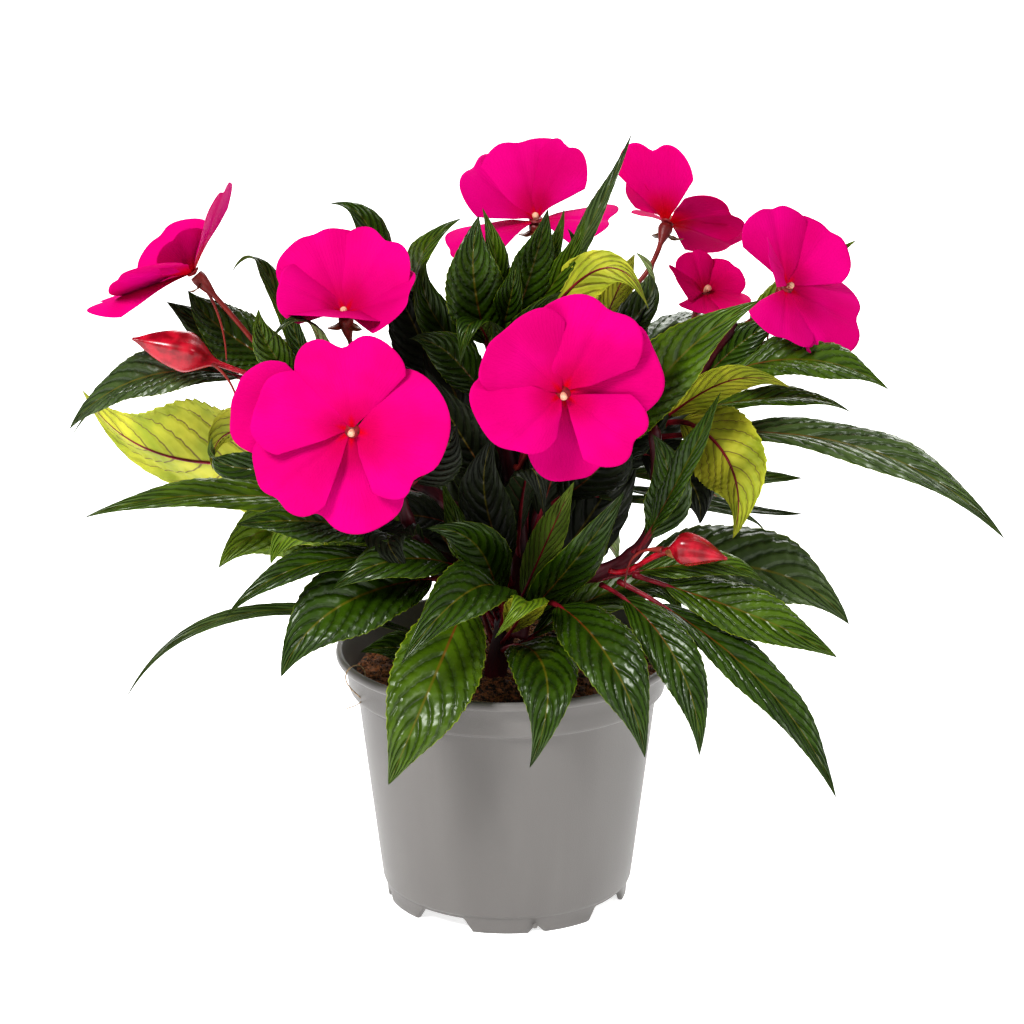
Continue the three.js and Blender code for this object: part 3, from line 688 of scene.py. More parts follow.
SMALL_LEAVES = [
    ("curled_by_rim", "main_stem", 0.24, (8, -60, 137), (-5, -66, 124), 16, (0.2, 0.5, 1), 3),
    ("below_bud_right", "shoot_front_right", 0.5, (79, -37, 143), (95, -38, 136), 13, (0, -0.8, 1), 1),
    ("olive_above_flower_2", "main_stem", 0.85, (32, -24, 252), (52, -26, 236), 20, (0.2, 1, -0.3), 3),
    ("right_narrow_up", "shoot_right", 0.72, (89, 10, 216), (104, 10, 225), 14, (-0.3, -1, 0.6), 0),
    ("right_underside_small", "shoot_right", 0.6, (84, -20, 209), (104, -24, 207), 13, (0.1, 1, 0.1), 3),
    ("right_behind", "shoot_right", 0.66, (109, 4, 195), (129, 2, 190), 14, (0.1, -0.4, 1), 1),
    ("right_deep_1", "shoot_right", 0.4, (98, 32, 156), (114, 34, 155), 12, (0.1, -0.7, 1), 1),
    ("right_deep_2", "shoot_right", 0.35, (96, 34, 142), (115, 36, 140), 9, (0.1, -0.4, 1), 2),
    ("right_deep_3", "shoot_right", 0.3, (90, 26, 142), (101, 30, 129), 6, (0.3, -0.6, 1), 2),
    ("behind_flower_7", "shoot_right", 0.95, (116, 30, 238), (132, 34, 249), 15, (-0.2, -0.7, 1), 3),
    ("pale_behind_top", "shoot_back", 0.75, (44, 22, 238), (48, 24, 246), 12, (0.1, 1, 0.2), 3),
    ("grey_beside_top", "shoot_back", 0.7, (54, 4, 238), (47, 2, 252), 15, (-0.5, -0.7, 0.4), 2),
    ("striped_top_left", "shoot_back_left", 0.9, (-30, -8, 254), (-16, -12, 268), 16, (-0.6, -0.8, 0.6), 1),
    ("top_left_behind", "shoot_back_left", 0.92, (-54, 12, 262), (-66, 10, 268), 14, (0.2, -0.8, 0.8), 0),
    ("thin_top_left", "shoot_left", 0.8, (-92, 16, 244), (-103, 16, 240), 8, (-0.2, -0.7, 1), 1),
    ("left_upper_behind", "shoot_left", 0.88, (-114, 10, 222), (-127, 10, 231), 18, (0.3, -1, 0.5), 0),
    ("left_spike_1", "shoot_left", 0.82, (-89, -10, 222), (-91, -12, 234), 13, (0.2, -1, 0.3), 1),
    ("left_spike_2", "shoot_left", 0.74, (-79, -6, 228), (-79, -8, 238), 9, (-0.6, -1, 0.2), 0),
    ("curled_by_flower_1", "shoot_left", 0.7, (-72, -30, 234), (-87, -36, 226), 9, (-0.2, -0.4, 1), 2),
    ("left_dark_tip", "shoot_left", 0.55, (-104, -4, 172), (-110, -2, 182), 15, (-0.3, -1, 0.3), 0),
    ("left_pale_behind", "shoot_left", 0.6, (-104, 26, 176), (-112, 26, 160), 24, (-0.2, 0.9, 0.4), 3),
    ("left_low_tips", "shoot_front_left", 0.34, (-72, -38, 142), (-95, -46, 132), 9, (-0.2, -0.6, 1), 1),
    ("under_right_petioles", "main_stem", 0.2, (50, -8, 126), (66, -14, 110), 22, (0.2, -0.7, 1), 1),
    ("young_striped", "main_stem", 0.3, (-19, -18, 155), (-24, -22, 172), 13, (-0.3, -1, 0.1), 1),
    ("centre_red_rib", "main_stem", 0.26, (30, -40, 153), (43, -44, 174), 20, (0.6, -1, 0.2), 0),
    ("centre_underside", "main_stem", 0.34, (20, -20, 159), (25, -22, 171), 13, (0.1, 1, 0.2), 1),
    ("forward_of_top", "main_stem", 0.92, (-12, -28, 234), (-17, -34, 217), 14, (-0.3, -1, 0.6), 0),
    ("top_dark_left", "main_stem", 0.86, (-29, -14, 238), (-29, -16, 254), 15, (0.3, -1, 0.1), 0),
    ("top_dark_left_2", "main_stem", 0.84, (-26, -20, 222), (-36, -26, 226), 17, (-0.3, -1, 0.4), 0),
    ("dark_right_of_centre", "shoot_front_right", 0.6, (59, -32, 168), (53, -32, 192), 20, (0.4, -1, 0.1), 0),
    ("top_young_1", "main_stem", 0.99, (-4, -16, 252), (-9, -16, 273), 11, (0.5, -1, 0.1), 1),
    ("top_young_2", "main_stem", 0.98, (16, -8, 254), (21, -8, 271), 9, (0.2, -1, 0.2), 1),
    ("top_young_3", "main_stem", 0.97, (20, -12, 248), (29, -12, 270), 10, (-0.4, -1, 0.2), 1),
    ("top_young_4", "main_stem", 0.95, (24, -4, 246), (22, -2, 262), 12, (-0.3, -1, 0.2), 0),
    ("top_young_5", "main_stem", 0.96, (2, -24, 244), (4, -26, 258), 12, (-0.2, -1, 0.3), 0),
    ("top_under_1", "main_stem", 0.88, (12, -26, 236), (20, -34, 246), 16, (0.3, -1, 0.5), 0),
    ("top_under_2", "main_stem", 0.85, (-2, -30, 226), (-6, -38, 236), 17, (0, -1, 0.5), 0),
    # the core and shade leaves take finish 4, the near-black painted shade that darkens the middle of the plant
    ("core_1", "main_stem", 0.42, (-8, -26, 170), (-4, -32, 192), 22, (-0.2, -1, 0.2), 4),
    ("core_2", "main_stem", 0.5, (8, -24, 178), (14, -28, 158), 20, (0.3, -1, 0.3), 4),
    ("core_3", "main_stem", 0.6, (-22, -16, 196), (-30, -22, 214), 22, (-0.4, -1, 0.2), 4),
    ("core_4", "shoot_front_left", 0.8, (-26, -44, 184), (-18, -48, 200), 18, (0.3, -1, 0.3), 4),
    ("core_5", "shoot_right", 0.2, (36, -18, 178), (40, -26, 198), 24, (0.2, -1, 0.2), 4),
    ("core_6", "shoot_right", 0.35, (52, -16, 196), (58, -22, 214), 20, (0.2, -1, 0.3), 4),
    ("core_7", "shoot_left", 0.2, (-40, -18, 156), (-56, -26, 150), 22, (-0.1, -0.9, 0.8), 4),
    ("core_8", "shoot_left", 0.45, (-62, -14, 204), (-74, -20, 218), 22, (-0.1, -1, 0.4), 4),
    ("core_9", "shoot_back_left", 0.6, (-36, 6, 226), (-46, 4, 244), 22, (0, -1, 0.3), 4),
    ("core_10", "main_stem", 0.68, (14, -4, 218), (24, -10, 238), 20, (0.2, -1, 0.2), 4),
    ("core_11", "shoot_back", 0.5, (44, 16, 210), (52, 8, 230), 22, (0.2, -1, 0.3), 4),
    ("core_12", "shoot_front_left", 0.45, (-44, -46, 158), (-34, -54, 144), 20, (0, -1, 0.5), 4),
    ("core_13", "shoot_right", 0.5, (66, -2, 168), (72, -10, 150), 24, (0.2, -1, 0.4), 4),
    ("core_14", "shoot_left", 0.35, (-62, 10, 160), (-84, 12, 148), 26, (-0.2, -0.5, 1), 4),
    ("in_the_pot", "main_stem", 0.06, (-34, 4, 95), (-56, 0, 96), 20, (0.1, -0.5, 1), 0),
    ("front_left_fill", "shoot_front_left", 0.3, (-40, -52, 150), (-64, -58, 140), 20, (-0.2, -0.8, 0.8), 0),
    ("front_fill", "main_stem", 0.32, (-12, -34, 150), (-30, -46, 160), 20, (-0.3, -1, 0.5), 0),
    ("left_fill", "shoot_left", 0.6, (-78, -12, 200), (-98, -16, 196), 24, (-0.2, -0.8, 1), 0),
    ("bright_low_left", "shoot_front_left", 0.42, (-64, -20, 158), (-88, -22, 138), 30, (-0.3, -0.9, 0.5), 3),
    ("shade_1", "main_stem", 0.3, (-12, 16, 160), (-16, 22, 196), 30, (0.1, -1, 0.1), 4),
    ("shade_2", "main_stem", 0.34, (14, 18, 164), (22, 24, 200), 30, (-0.1, -1, 0.1), 4),
    ("shade_3", "main_stem", 0.3, (34, 14, 150), (52, 18, 178), 28, (-0.2, -1, 0.2), 4),
    ("shade_4", "main_stem", 0.28, (-32, 14, 150), (-52, 20, 174), 28, (0.2, -1, 0.2), 4),
    ("shade_5", "main_stem", 0.55, (10, 12, 200), (4, 18, 232), 30, (0, -1, 0.1), 4),
    ("shade_6", "main_stem", 0.5, (-20, 10, 196), (-34, 14, 224), 28, (0.1, -1, 0.1), 4),
    ("shade_7", "main_stem", 0.5, (30, 10, 200), (44, 14, 226), 28, (-0.1, -1, 0.1), 4),
    ("shade_8", "main_stem", 0.24, (6, 26, 142), (10, 34, 176), 32, (0, -1, 0.1), 4),
    ("shade_9", "shoot_right", 0.3, (60, 16, 190), (76, 18, 214), 28, (-0.2, -1, 0.1), 4),
    ("shade_10", "shoot_left", 0.4, (-70, 8, 196), (-88, 10, 214), 26, (0.2, -1, 0.1), 4),
    ("shade_11", "main_stem", 0.22, (-20, 20, 134), (-34, 26, 156), 28, (0.1, -1, 0.2), 4),
    ("shade_12", "main_stem", 0.22, (26, 22, 134), (40, 28, 156), 28, (-0.1, -1, 0.2), 4),
    ("back_1", "shoot_back_left", 0.35, (-30, 52, 176), (-44, 72, 186), 24, (-0.2, 0.7, 1), 0),
    ("back_2", "shoot_back", 0.3, (22, 62, 170), (30, 82, 150), 26, (0.1, 0.7, 1), 0),
    ("back_3", "shoot_back", 0.6, (24, 60, 222), (16, 80, 226), 24, (-0.1, 0.6, 1), 1),
    ("back_4", "shoot_back_left", 0.7, (-48, 44, 222), (-62, 62, 232), 22, (-0.2, 0.6, 1), 1),
    ("back_5", "main_stem", 0.45, (-6, 34, 180), (-14, 56, 192), 26, (-0.1, 0.6, 1), 0),
    ("back_6", "shoot_right", 0.45, (58, 40, 178), (70, 60, 182), 24, (0.3, 0.6, 1), 0),
    ("back_7", "main_stem", 0.25, (-12, 40, 130), (-22, 74, 112), 26, (-0.2, 0.6, 1), 0),
    ("back_8", "main_stem", 0.22, (26, 36, 128), (44, 74, 108), 26, (0.3, 0.6, 1), 1),
    ("back_9", "shoot_left", 0.5, (-60, 34, 176), (-74, 56, 172), 24, (-0.3, 0.6, 1), 0),
    ("back_10", "shoot_right", 0.8, (92, 34, 212), (108, 50, 210), 22, (0.4, 0.5, 1), 1),
]
SMALL_LEAF_DETAIL = 0.5  # share of a large leaf's rows and teeth
for name, shoot, at, bend, tip, width, faces, kind in SMALL_LEAVES:
    blade = planned_blade(shoot, at, bend, tip, width, faces)
    make_leaf("small_leaf_" + name, blade, LEAF_FINISHES[kind], twist=random.uniform(-0.3, 0.3),
              detail=SMALL_LEAF_DETAIL)
print("small leaves", len(SMALL_LEAVES))

# %% [markdown]
# ## Shoots
#
# A shoot follows its solid's centre line. Its radius swells where leaves spring and at its foot, and long
# shallow ribs run along it, as on any fleshy stem.

# %% Shoots
KNOTS = (0.22, 0.4, 0.55, 0.7, 0.83, 0.95)  # where leaves spring, as shares of a shoot's length


def make_shoot(node):
    """A ribbed tube: radius = the frame's radius x (1 + swellings) x (1 + shallow ribs round it)."""
    path = smooth_path(shoots[node]["path"], 120, 5)
    place = np.linspace(0, 1, 120)
    radius = np.interp(place, np.linspace(0, 1, len(shoots[node]["radius"])), shoots[node]["radius"])
    swelling = sum(np.exp(-((place - knot) / 0.025) ** 2) for knot in KNOTS)
    rings = tube(path, radius * (0.88 + 0.2 * swelling) * (1 - 0.75 * ease(0.97, 1, place)), 20)
    ribs = 1 + 0.03 * np.cos(7 * np.linspace(0, 2 * math.pi, 20, endpoint=False))
    rings = path[:, None] + (rings - path[:, None]) * ribs[None, :, None]
    piece = put_mesh(node + "_flesh", *skin(rings), STEM)
    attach(piece, "root")
    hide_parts(node)


for node in shoots:
    make_shoot(node)
print("shoots made", len(shoots))

# %% [markdown]
# ## Petals
#
# A petal is a fan: `s` runs out from the throat and `v` across. The fan opens quickly from a narrow claw, its
# outer edge is rounded and often notched in the middle, and its surface cups, ripples and folds softly. The
# five fans of a flower are wider than a fifth of a turn, so each overlaps the next, one edge under and one
# over. The colour is a hot magenta that reddens into a small star at the throat, and the back is redder. The
# face also darkens towards the throat into a wide deep red zone: partly the real red eye, partly painted shade.

# %% Petal material
def petal_finish(name, deep, bright, back_deep, back_bright):
    shader = Shader(name)
    along, across = shader.uv()
    side = abs(across * 2 - 1)
    below = shader.add("ShaderNodeAttribute", {"attribute_name": "underside"}, output=2)
    cloud = shader.noise(45, 2)
    nerve = (across * 30 + cloud * 4).pingpong(0.5)
    star = (along + side * 0.14 + cloud * 0.06).step(0.25, 0.12)
    # painted shade: the face darkens from its edge towards the throat, mixed with random cloud tone, and the wide deep
    # red zone round the throat is partly its real red eye and partly painted shade
    base = shader.mix(cloud.step(0.3, 0.7) * 0.5 + along.step(0.1, 0.9) * 0.5, deep, bright)
    base = shader.mix(nerve.step(0.16, 0.0) * along.step(1.0, 0.3) * 0.1, base, deep)
    base = shader.mix(along.step(0.5, 0.08) * 0.55, base, (0.34, 0.0, 0.02))
    base = shader.mix(star * 0.85, base, (0.42, 0.0, 0.004))
    back = shader.mix(along.step(0.1, 0.55) * (0.7 + 0.3 * cloud.step(0.3, 0.7)), back_deep, back_bright)
    base = shader.mix(below.step(0.45, 0.6), base, back)
    return shader.finish(base, 0.62, bump=nerve.step(0.25, 0.0) * -1, bump_height=0.00004,
                         Specular_IOR_Level=0.02)


PETAL = petal_finish("petal_magenta", (0.36, 0.0, 0.075), (0.5, 0.0, 0.15), (0.45, 0.0, 0.01), (0.55, 0.0, 0.18))
PETAL_RED = petal_finish("petal_red", (0.36, 0.0, 0.05), (0.55, 0.0, 0.14), (0.5, 0.0, 0.008), (0.6, 0.0, 0.17))

# %% One petal
PETAL_ROWS = 34
PETAL_SHARES = np.concatenate([[-1, -0.985], np.linspace(-0.93, 0.93, 27), [0.985, 1]])


def make_petal(name, flower, petal, seed, replaced=()):
    """A petal as a fan round the throat.

    angle = spread x v, a little narrower in the claw. reach = length x s x (rounded edge - notch) x skew.
    Height over the petal's own plane = layer + sag x s^2 + curl x side^2 + ripples that grow outwards. The
    plane leans from the flower's plane by the petal's rise.
    """
    _, turn, spread, length, notch, notch_at, rise, layer, skew = petal
    ripple = np.random.default_rng(seed)
    turn, rise = math.radians(turn), math.radians(rise)
    flat = flower["right"] * math.cos(turn) + flower["up"] * math.sin(turn)
    out = flat * math.cos(rise) + flower["axis"] * math.sin(rise)
    axis = flower["axis"] * math.cos(rise) - flat * math.sin(rise)
    across = np.cross(axis, out)
    s = np.linspace(0.03, 1, PETAL_ROWS)
    grid_s, grid_v = np.meshgrid(s, PETAL_SHARES, indexing="ij")
    side = np.abs(grid_v)
    opening = math.radians(spread) * (0.8 + 0.2 * ease(0, 0.4, grid_s))
    edge = 1 - 0.26 * side ** 3.4 - notch * np.exp(-((grid_v - notch_at) / 0.17) ** 2) * grid_s ** 3
    edge = edge + 0.014 * np.sin(8 * grid_v + ripple.uniform(0, 6)) * grid_s
    reach = length * MM * grid_s * edge * (1 + skew * grid_v)
    angle = opening * grid_v
    height = layer * MM * ease(0.05, 0.4, grid_s) + ripple.uniform(-0.05, 0.03) * length * MM * grid_s ** 2
    height = height - 2.2 * MM * side ** 2 * grid_s * ease(0.2, 0.8, grid_s)
    for amount, turns, phase in ripple.uniform(-1, 1, (3, 3)):
        height = height + 0.02 * length * MM * amount * np.sin((3 + turns) * grid_v + 3 * phase) * grid_s ** 2
    height = height - 0.016 * length * MM * np.exp(-((grid_v - notch_at * 0.6) / 0.1) ** 2) * ease(0, 0.5, grid_s)
    centre = (flower["throat"] + out * (reach * np.cos(angle))[..., None]
              + across * (reach * np.sin(angle))[..., None] + axis * height[..., None])
    thick = 0.4 * MM * (1 - 0.7 * side ** 4) * (1 - 0.7 * grid_s ** 6)
    top = centre + axis * (thick / 2)[..., None]
    bottom = centre - axis * (thick / 2)[..., None]
    top[:, [0, -1]] = centre[:, [0, -1]]
    loop = np.concatenate([top, bottom[:, -2:0:-1]], axis=1)
    shares = np.concatenate([PETAL_SHARES, PETAL_SHARES[-2:0:-1]])
    below = np.concatenate([np.zeros(len(PETAL_SHARES)), np.ones(len(PETAL_SHARES) - 2)])
    below[[0, len(PETAL_SHARES) - 1]] = 0.5
    values = with_ends(np.stack(np.broadcast_arrays(s[:, None], (shares[None] + 1) / 2, below[None]), axis=-1))
    points, quads, triangles = skin(loop)
    sides = loop.shape[1]
    rim = (len(loop) - 1) * sides
    k = np.arange(len(PETAL_SHARES) - 1)
    cap = np.stack([rim + k, rim + k + 1, rim + (sides - k - 1) % sides, rim + (sides - k) % sides], axis=-1)
    piece = put_mesh(name, points[:-1], np.concatenate([quads, cap[1:-1]]),
                     np.concatenate([triangles[:sides], cap[:1, :3], cap[-1:, [0, 1, 3]]]), flower["finish"],
                     uv=values[:-1, :2], marks={"underside": values[:-1, 2]})
    finish_piece(piece, replaced)


def finish_piece(piece, replaced=()):
    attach(piece, "root")
    if replaced:
        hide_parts(*replaced)
    return piece


# %% [markdown]
# ## Flowers
#
# The throat, axis and stalk of a flower come from its solid in the frame. What the frame can't say is how each
# petal lies, so a table gives it, petal by petal: its direction on the face of the flower (0 to the right, 90
# up), half the angle of its fan, its length, the depth and the place of its notch, how steeply it rises out of
# the flower's plane, its layer, and its skew to one side. Two flowers have a lobe folded over as a sixth fan.

# %% How the petals lie
PETALS = {
    "flower_1": [
        ("top", 92, 46, 37, 0.13, 0.05, 20, 0.0, 0.0), ("left", 168, 31, 45, 0.03, -0.2, 0, -2.2, 0.0),
        ("lower_left", 216, 35, 39, 0.05, 0.2, 3, -0.4, 0.0), ("lower_right", 266, 43, 38, 0.09, -0.4, -3, -2.8, 0.0),
        ("right", -10, 62, 35, 0.15, -0.42, 4, 2.2, 0.09), ("inner", 163, 36, 36, 0.02, 0.3, 9, 1.6, 0.05),
    ],
    "flower_2": [
        ("top", 66, 48, 37, 0.05, -0.1, 7, 2.8, 0.0), ("left", 132, 42, 37, 0.05, 0.0, 26, -1.6, 0.0),
        ("lower_left", 212, 48, 31, 0.03, 0.3, 10, 2.2, -0.3), ("lower_right", 283, 44, 36, 0.1, 0.35, -12, -3.4, 0.1),
        ("right", 20, 42, 37, 0.02, 0.2, 2, -1.0, 0.0), ("inner", -38, 36, 33, 0.05, 0.1, 4, 1.0, 0.0),
    ],
    "flower_3": [
        ("a", 122, 47, 33, 0.05, 0.0, 36, -0.6, 0.0), ("b", 58, 48, 33, 0.06, 0.0, 36, 0.8, 0.0),
        ("c", 182, 40, 28, 0.04, 0.0, 34, 1.6, 0.0), ("d", -4, 42, 31, 0.05, 0.0, 30, 0.0, 0.0),
        ("e", 268, 60, 26, 0.08, 0.2, 38, 2.4, 0.0),
    ],
    "flower_4": [
        ("a", 80, 40, 37, 0.08, 0.0, 30, 0.0, 0.0), ("b", 264, 32, 42, 0.1, 0.0, 22, 0.0, 0.0),
        ("c", -42, 52, 33, 0.05, 0.0, 32, 1.6, 0.0), ("d", 196, 46, 30, 0.05, 0.0, 36, 0.0, 0.0),
        ("e", 24, 38, 24, 0.05, 0.0, 40, 0.6, 0.0),
    ],
    "flower_5": [
        ("a", 158, 46, 33, 0.04, 0.0, 34, -0.8, 0.0), ("b", 106, 50, 33, 0.05, 0.1, 40, 1.0, 0.0),
        ("c", 50, 36, 32, 0.04, 0.0, 50, 2.4, 0.0), ("d", -12, 36, 32, 0.07, 0.0, 14, 0.0, 0.0),
        ("e", 206, 30, 36, 0.04, 0.0, -6, 0.8, 0.0),
    ],
    "flower_6": [
        ("a", 88, 36, 36, 0.08, 0.0, 26, -0.6, 0.0), ("b", 166, 42, 31, 0.06, 0.0, 8, 0.8, 0.0),
        ("c", 226, 44, 30, 0.04, 0.0, 10, 1.2, 0.0), ("d", 300, 46, 25, 0.07, 0.0, 30, 0.0, 0.0),
        ("e", 30, 36, 24, 0.04, 0.0, 30, 1.6, 0.0),
    ],
    "flower_7": [
        ("a", 88, 42, 31, 0.06, 0.0, 26, 0.0, 0.0), ("b", 32, 42, 31, 0.05, 0.0, 20, -1.2, 0.0),
        ("c", -44, 50, 34, 0.07, 0.2, -6, 1.6, 0.0), ("d", 236, 44, 27, 0.05, 0.0, 4, 0.0, 0.0),
        ("e", 163, 26, 29, 0.04, 0.0, 44, 1.8, 0.0),
    ],
    "flower_8": [
        ("a", 90, 46, 17, 0.06, 0.0, 34, 0.0, 0.0), ("b", 18, 44, 18, 0.05, 0.0, 24, -0.6, 0.0),
        ("c", 306, 46, 18, 0.05, 0.0, 10, 0.6, 0.0), ("d", 234, 46, 18, 0.06, 0.0, 10, 0.0, 0.0),
        ("e", 162, 44, 18, 0.05, 0.0, 24, 0.9, 0.0),
    ],
}
RED_FLOWERS = {"flower_6", "flower_8"}


# %% Reading a flower
def read_flower(node):
    """Throat, axis and the stalk's centre line, from a flower in one piece or from its stalk and petals."""
    if node.endswith("_stalk"):
        petals = [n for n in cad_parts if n.startswith(node.replace("_stalk", "_petal_"))]
        bases = np.array([read_blade(petal)["path"][0] for petal in petals])
        throat, rings = bases.mean(axis=0), read_rings(node)[0]
        axis = unit(np.linalg.svd(bases - throat)[2][2])
        stalk = rings.mean(axis=1)
    else:
        rings, throat, _ = read_rings(node)
        spokes = rings - rings.mean(axis=1, keepdims=True)
        axis = unit(np.sum(np.cross(spokes[0], np.roll(spokes[0], -1, axis=0)), axis=0))
        stalk = rings[np.linalg.norm(spokes, axis=2).mean(axis=1) < 5 * MM].mean(axis=1)
    if np.linalg.norm(stalk[0] - throat) > np.linalg.norm(stalk[-1] - throat):
        stalk = stalk[::-1]
    if np.dot(axis, stalk.mean(axis=0) - throat) > 0:
        axis = -axis
    up = unit(np.array([0, 0, 1.0]) - axis * axis[2])
    return {"throat": throat, "axis": axis, "up": up, "right": np.cross(up, axis), "stalk": stalk}


flowers = {}
for node in sorted(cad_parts):
    if node.startswith("flower_") and "petal" not in node:
        name = node.replace("_stalk", "")
        flower = read_flower(node)
        flower["finish"] = PETAL_RED if name in RED_FLOWERS else PETAL
        flower["node"] = node
        flowers[name] = flower
for name, flower in flowers.items():
    print(name, "throat", np.round(flower["throat"], 3), "axis", np.round(flower["axis"], 2))

# %% [markdown]
# Behind the petals sit the calyx, two small pointed sepals and a thin curved spur that holds the nectar. In
# front, a stubby cream column of joined anthers stands in the throat.

# %% Flower parts
def plain_finish(name, dark, light, gloss, grain=700):
    shader = Shader(name)
    speck = shader.noise(grain, 3)
    return shader.finish(shader.mix(speck.step(0.35, 0.65), dark, light), gloss, bump=speck,
                         bump_height=0.0001, Specular_IOR_Level=0.45)


ANTHER = plain_finish("anther_cream", (0.5, 0.2, 0.13), (0.62, 0.4, 0.26), 0.55, 2500)
SEPAL = plain_finish("sepal_brown_green", (0.1, 0.03, 0.012), (0.2, 0.08, 0.025), 0.4)
# partly real red, partly painted shade: a very dark red for the hollow of the throat
THROAT_RED_AND_SHADE = plain_finish("throat_red", (0.1, 0.0, 0.002), (0.22, 0.0, 0.006), 0.6)


def make_stalk(name, flower, replaced):
    """A thin stalk from the shoot, swelling into the calyx behind the petals."""
    start = flower["throat"] - flower["axis"] * 1.2 * MM
    path = smooth_path(np.concatenate([[start], flower["stalk"][1:]]), 60)
    place = np.linspace(0, 1, 60)
    radius = np.interp(place, [0, 0.04, 0.12, 0.22, 0.9, 1], [2.6, 2.9, 2.2, 1.0, 0.9, 1.3]) * MM
    piece = put_mesh(name + "_stalk_flesh", *skin(tube(path, radius, 14)), STALK)
    finish_piece(piece, replaced)


def make_anther(name, flower):
    """A short bent club: radius swells to a rounded head."""
    throat, axis = flower["throat"], flower["axis"]
    place = np.linspace(0, 1, 20)[:, None]
    path = throat + axis * (place * 4.6 * MM - 0.8 * MM) - flower["up"] * (place ** 2 * 1.4 * MM)
    radius = np.interp(place[:, 0], [0, 0.3, 0.6, 0.85, 0.96, 1], [0.7, 0.8, 1.2, 1.3, 0.9, 0.3]) * MM
    finish_piece(put_mesh(name + "_anthers", *skin(tube(path, radius, 14)), ANTHER))
    # a dark red cup round the throat's hole: partly its real red, partly painted shade in the hollow
    ring = throat - axis * 0.6 * MM + place * axis * 1.2 * MM
    cup = np.interp(place[:, 0], [0, 0.5, 1], [1.0, 2.4, 2.7]) * MM
    finish_piece(put_mesh(name + "_throat", *skin(tube(ring, cup, 16)), THROAT_RED_AND_SHADE))


def make_spur(name, throat, axis):
    """A tapering tube that leaves the calyx backwards and hooks downwards."""
    down = np.array([0, 0, -1.0])
    place = np.linspace(0, 1, 40)[:, None]
    path = (throat - axis * (2 + 16 * np.sin(place * 1.5)) * MM
            + down * (3 * place + 16 * place ** 2.4) * MM + np.cross(axis, down) * 4 * MM * place)
    radius = np.interp(place[:, 0], [0, 0.12, 0.3, 1], [1.5, 1.0, 0.6, 0.3]) * MM
    finish_piece(put_mesh(name + "_spur", *skin(tube(path, radius, 10)), STALK))


def make_sepals(name, throat, axis, sides, length=8):
    """Two small pointed scales that hug the calyx or the foot of a bud."""
    for k, out in enumerate(sides):
        t = np.linspace(0, 1, 12)[:, None]
        path = throat + out * (length * MM * t) - axis * (1.5 * MM * np.sin(math.pi * t))
        blade = {"path": path, "across": np.tile(unit(np.cross(axis, out)), (12, 1)), "half": 1.8 * MM, "cup": 0.2}
        make_leaf(f"{name}_sepal_{k + 1}", blade, SEPAL, petiole_share=0.04, puff=0.1, detail=0.3)


for number, (name, flower) in enumerate(flowers.items()):
    for k, petal in enumerate(PETALS[name]):
        node = f"{name}_petal_{petal[0]}"
        make_petal(node + "_surface", flower, petal, 10 * number + k, [node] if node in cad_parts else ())
    make_stalk(name, flower, [flower["node"]])
    make_anther(name, flower)
    make_spur(name, flower["throat"], flower["axis"])
    lower = unit(flower["right"] - 0.6 * flower["up"])
    make_sepals(name, flower["throat"] - flower["axis"] * 3.5 * MM, flower["axis"],
                (lower, unit(lower - 2 * flower["right"] * np.dot(lower, flower["right"]))))
print("flowers", len(flowers), "petals", sum(len(PETALS[name]) for name in flowers))

# %% [markdown]
# ## Buds
#
# A bud is a pointed spindle of rolled petals on a thin stalk, clasped by two sepals, with its spur hooked
# below. The spindle's centre line and radii are the frame's.

# %% Buds
BUD = plain_finish("bud_crimson", (0.16, 0.001, 0.006), (0.36, 0.006, 0.02), 0.26, 200)
for node in sorted(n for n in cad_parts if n.startswith("bud_")):
    rings, start, tip = read_rings(node)
    centres = np.concatenate([rings.mean(axis=1), [tip]])
    spread = np.linalg.norm(rings - rings.mean(axis=1, keepdims=True), axis=2).mean(axis=1)
    radii = np.concatenate([spread, [0.2 * MM]])
    lengths = np.concatenate([[0], np.cumsum(np.linalg.norm(np.diff(centres, axis=0), axis=1))])
    place = np.linspace(0, 1, 70)
    path = smooth_path(centres, 70, 4)
    radius = np.interp(place, lengths / lengths[-1], radii)
    radius = radius * (1 + 0.3 * ease(0.35, 0.6, place) * (1 - ease(0.85, 1, place)))
    radius = np.convolve(np.pad(radius, 3, mode="edge"), np.ones(7) / 7, mode="valid")
    folds = 1 + 0.08 * np.cos(5 * np.linspace(0, 2 * math.pi, 30, endpoint=False) + 3 * place[:, None])
    rings = tube(path, radius, 30)
    rings = path[:, None] + (rings - path[:, None]) * (1 + (folds - 1) * ease(0.4, 0.6, place)[:, None])[..., None]
    finish_piece(put_mesh(node + "_petals", *skin(rings), BUD), [node])
    axis = unit(path[-1] - path[45])
    across = unit(np.cross(axis, [0.3, 0.2, 1]))
    make_spur(node, path[38], axis)
    make_sepals(node, path[37] + across * 1.5 * MM, axis, (unit(across * 0.4 + axis), ), 9)
    make_sepals(node + "_lower", path[37] - across * 1.5 * MM, axis, (unit(axis - across * 0.4), ), 9)
print("buds made")

# %% [markdown]
# ## The pot
#
# The pot is turned: one cross-section carried round the axis. The foot ring is broken by wide and narrow
# drainage notches, so the bottom edge of the ring is a function of the angle. The cross-section is a listed
# profile with the small rounds of a moulding at its corners, scaled to the frame's pot's lip radius and height.

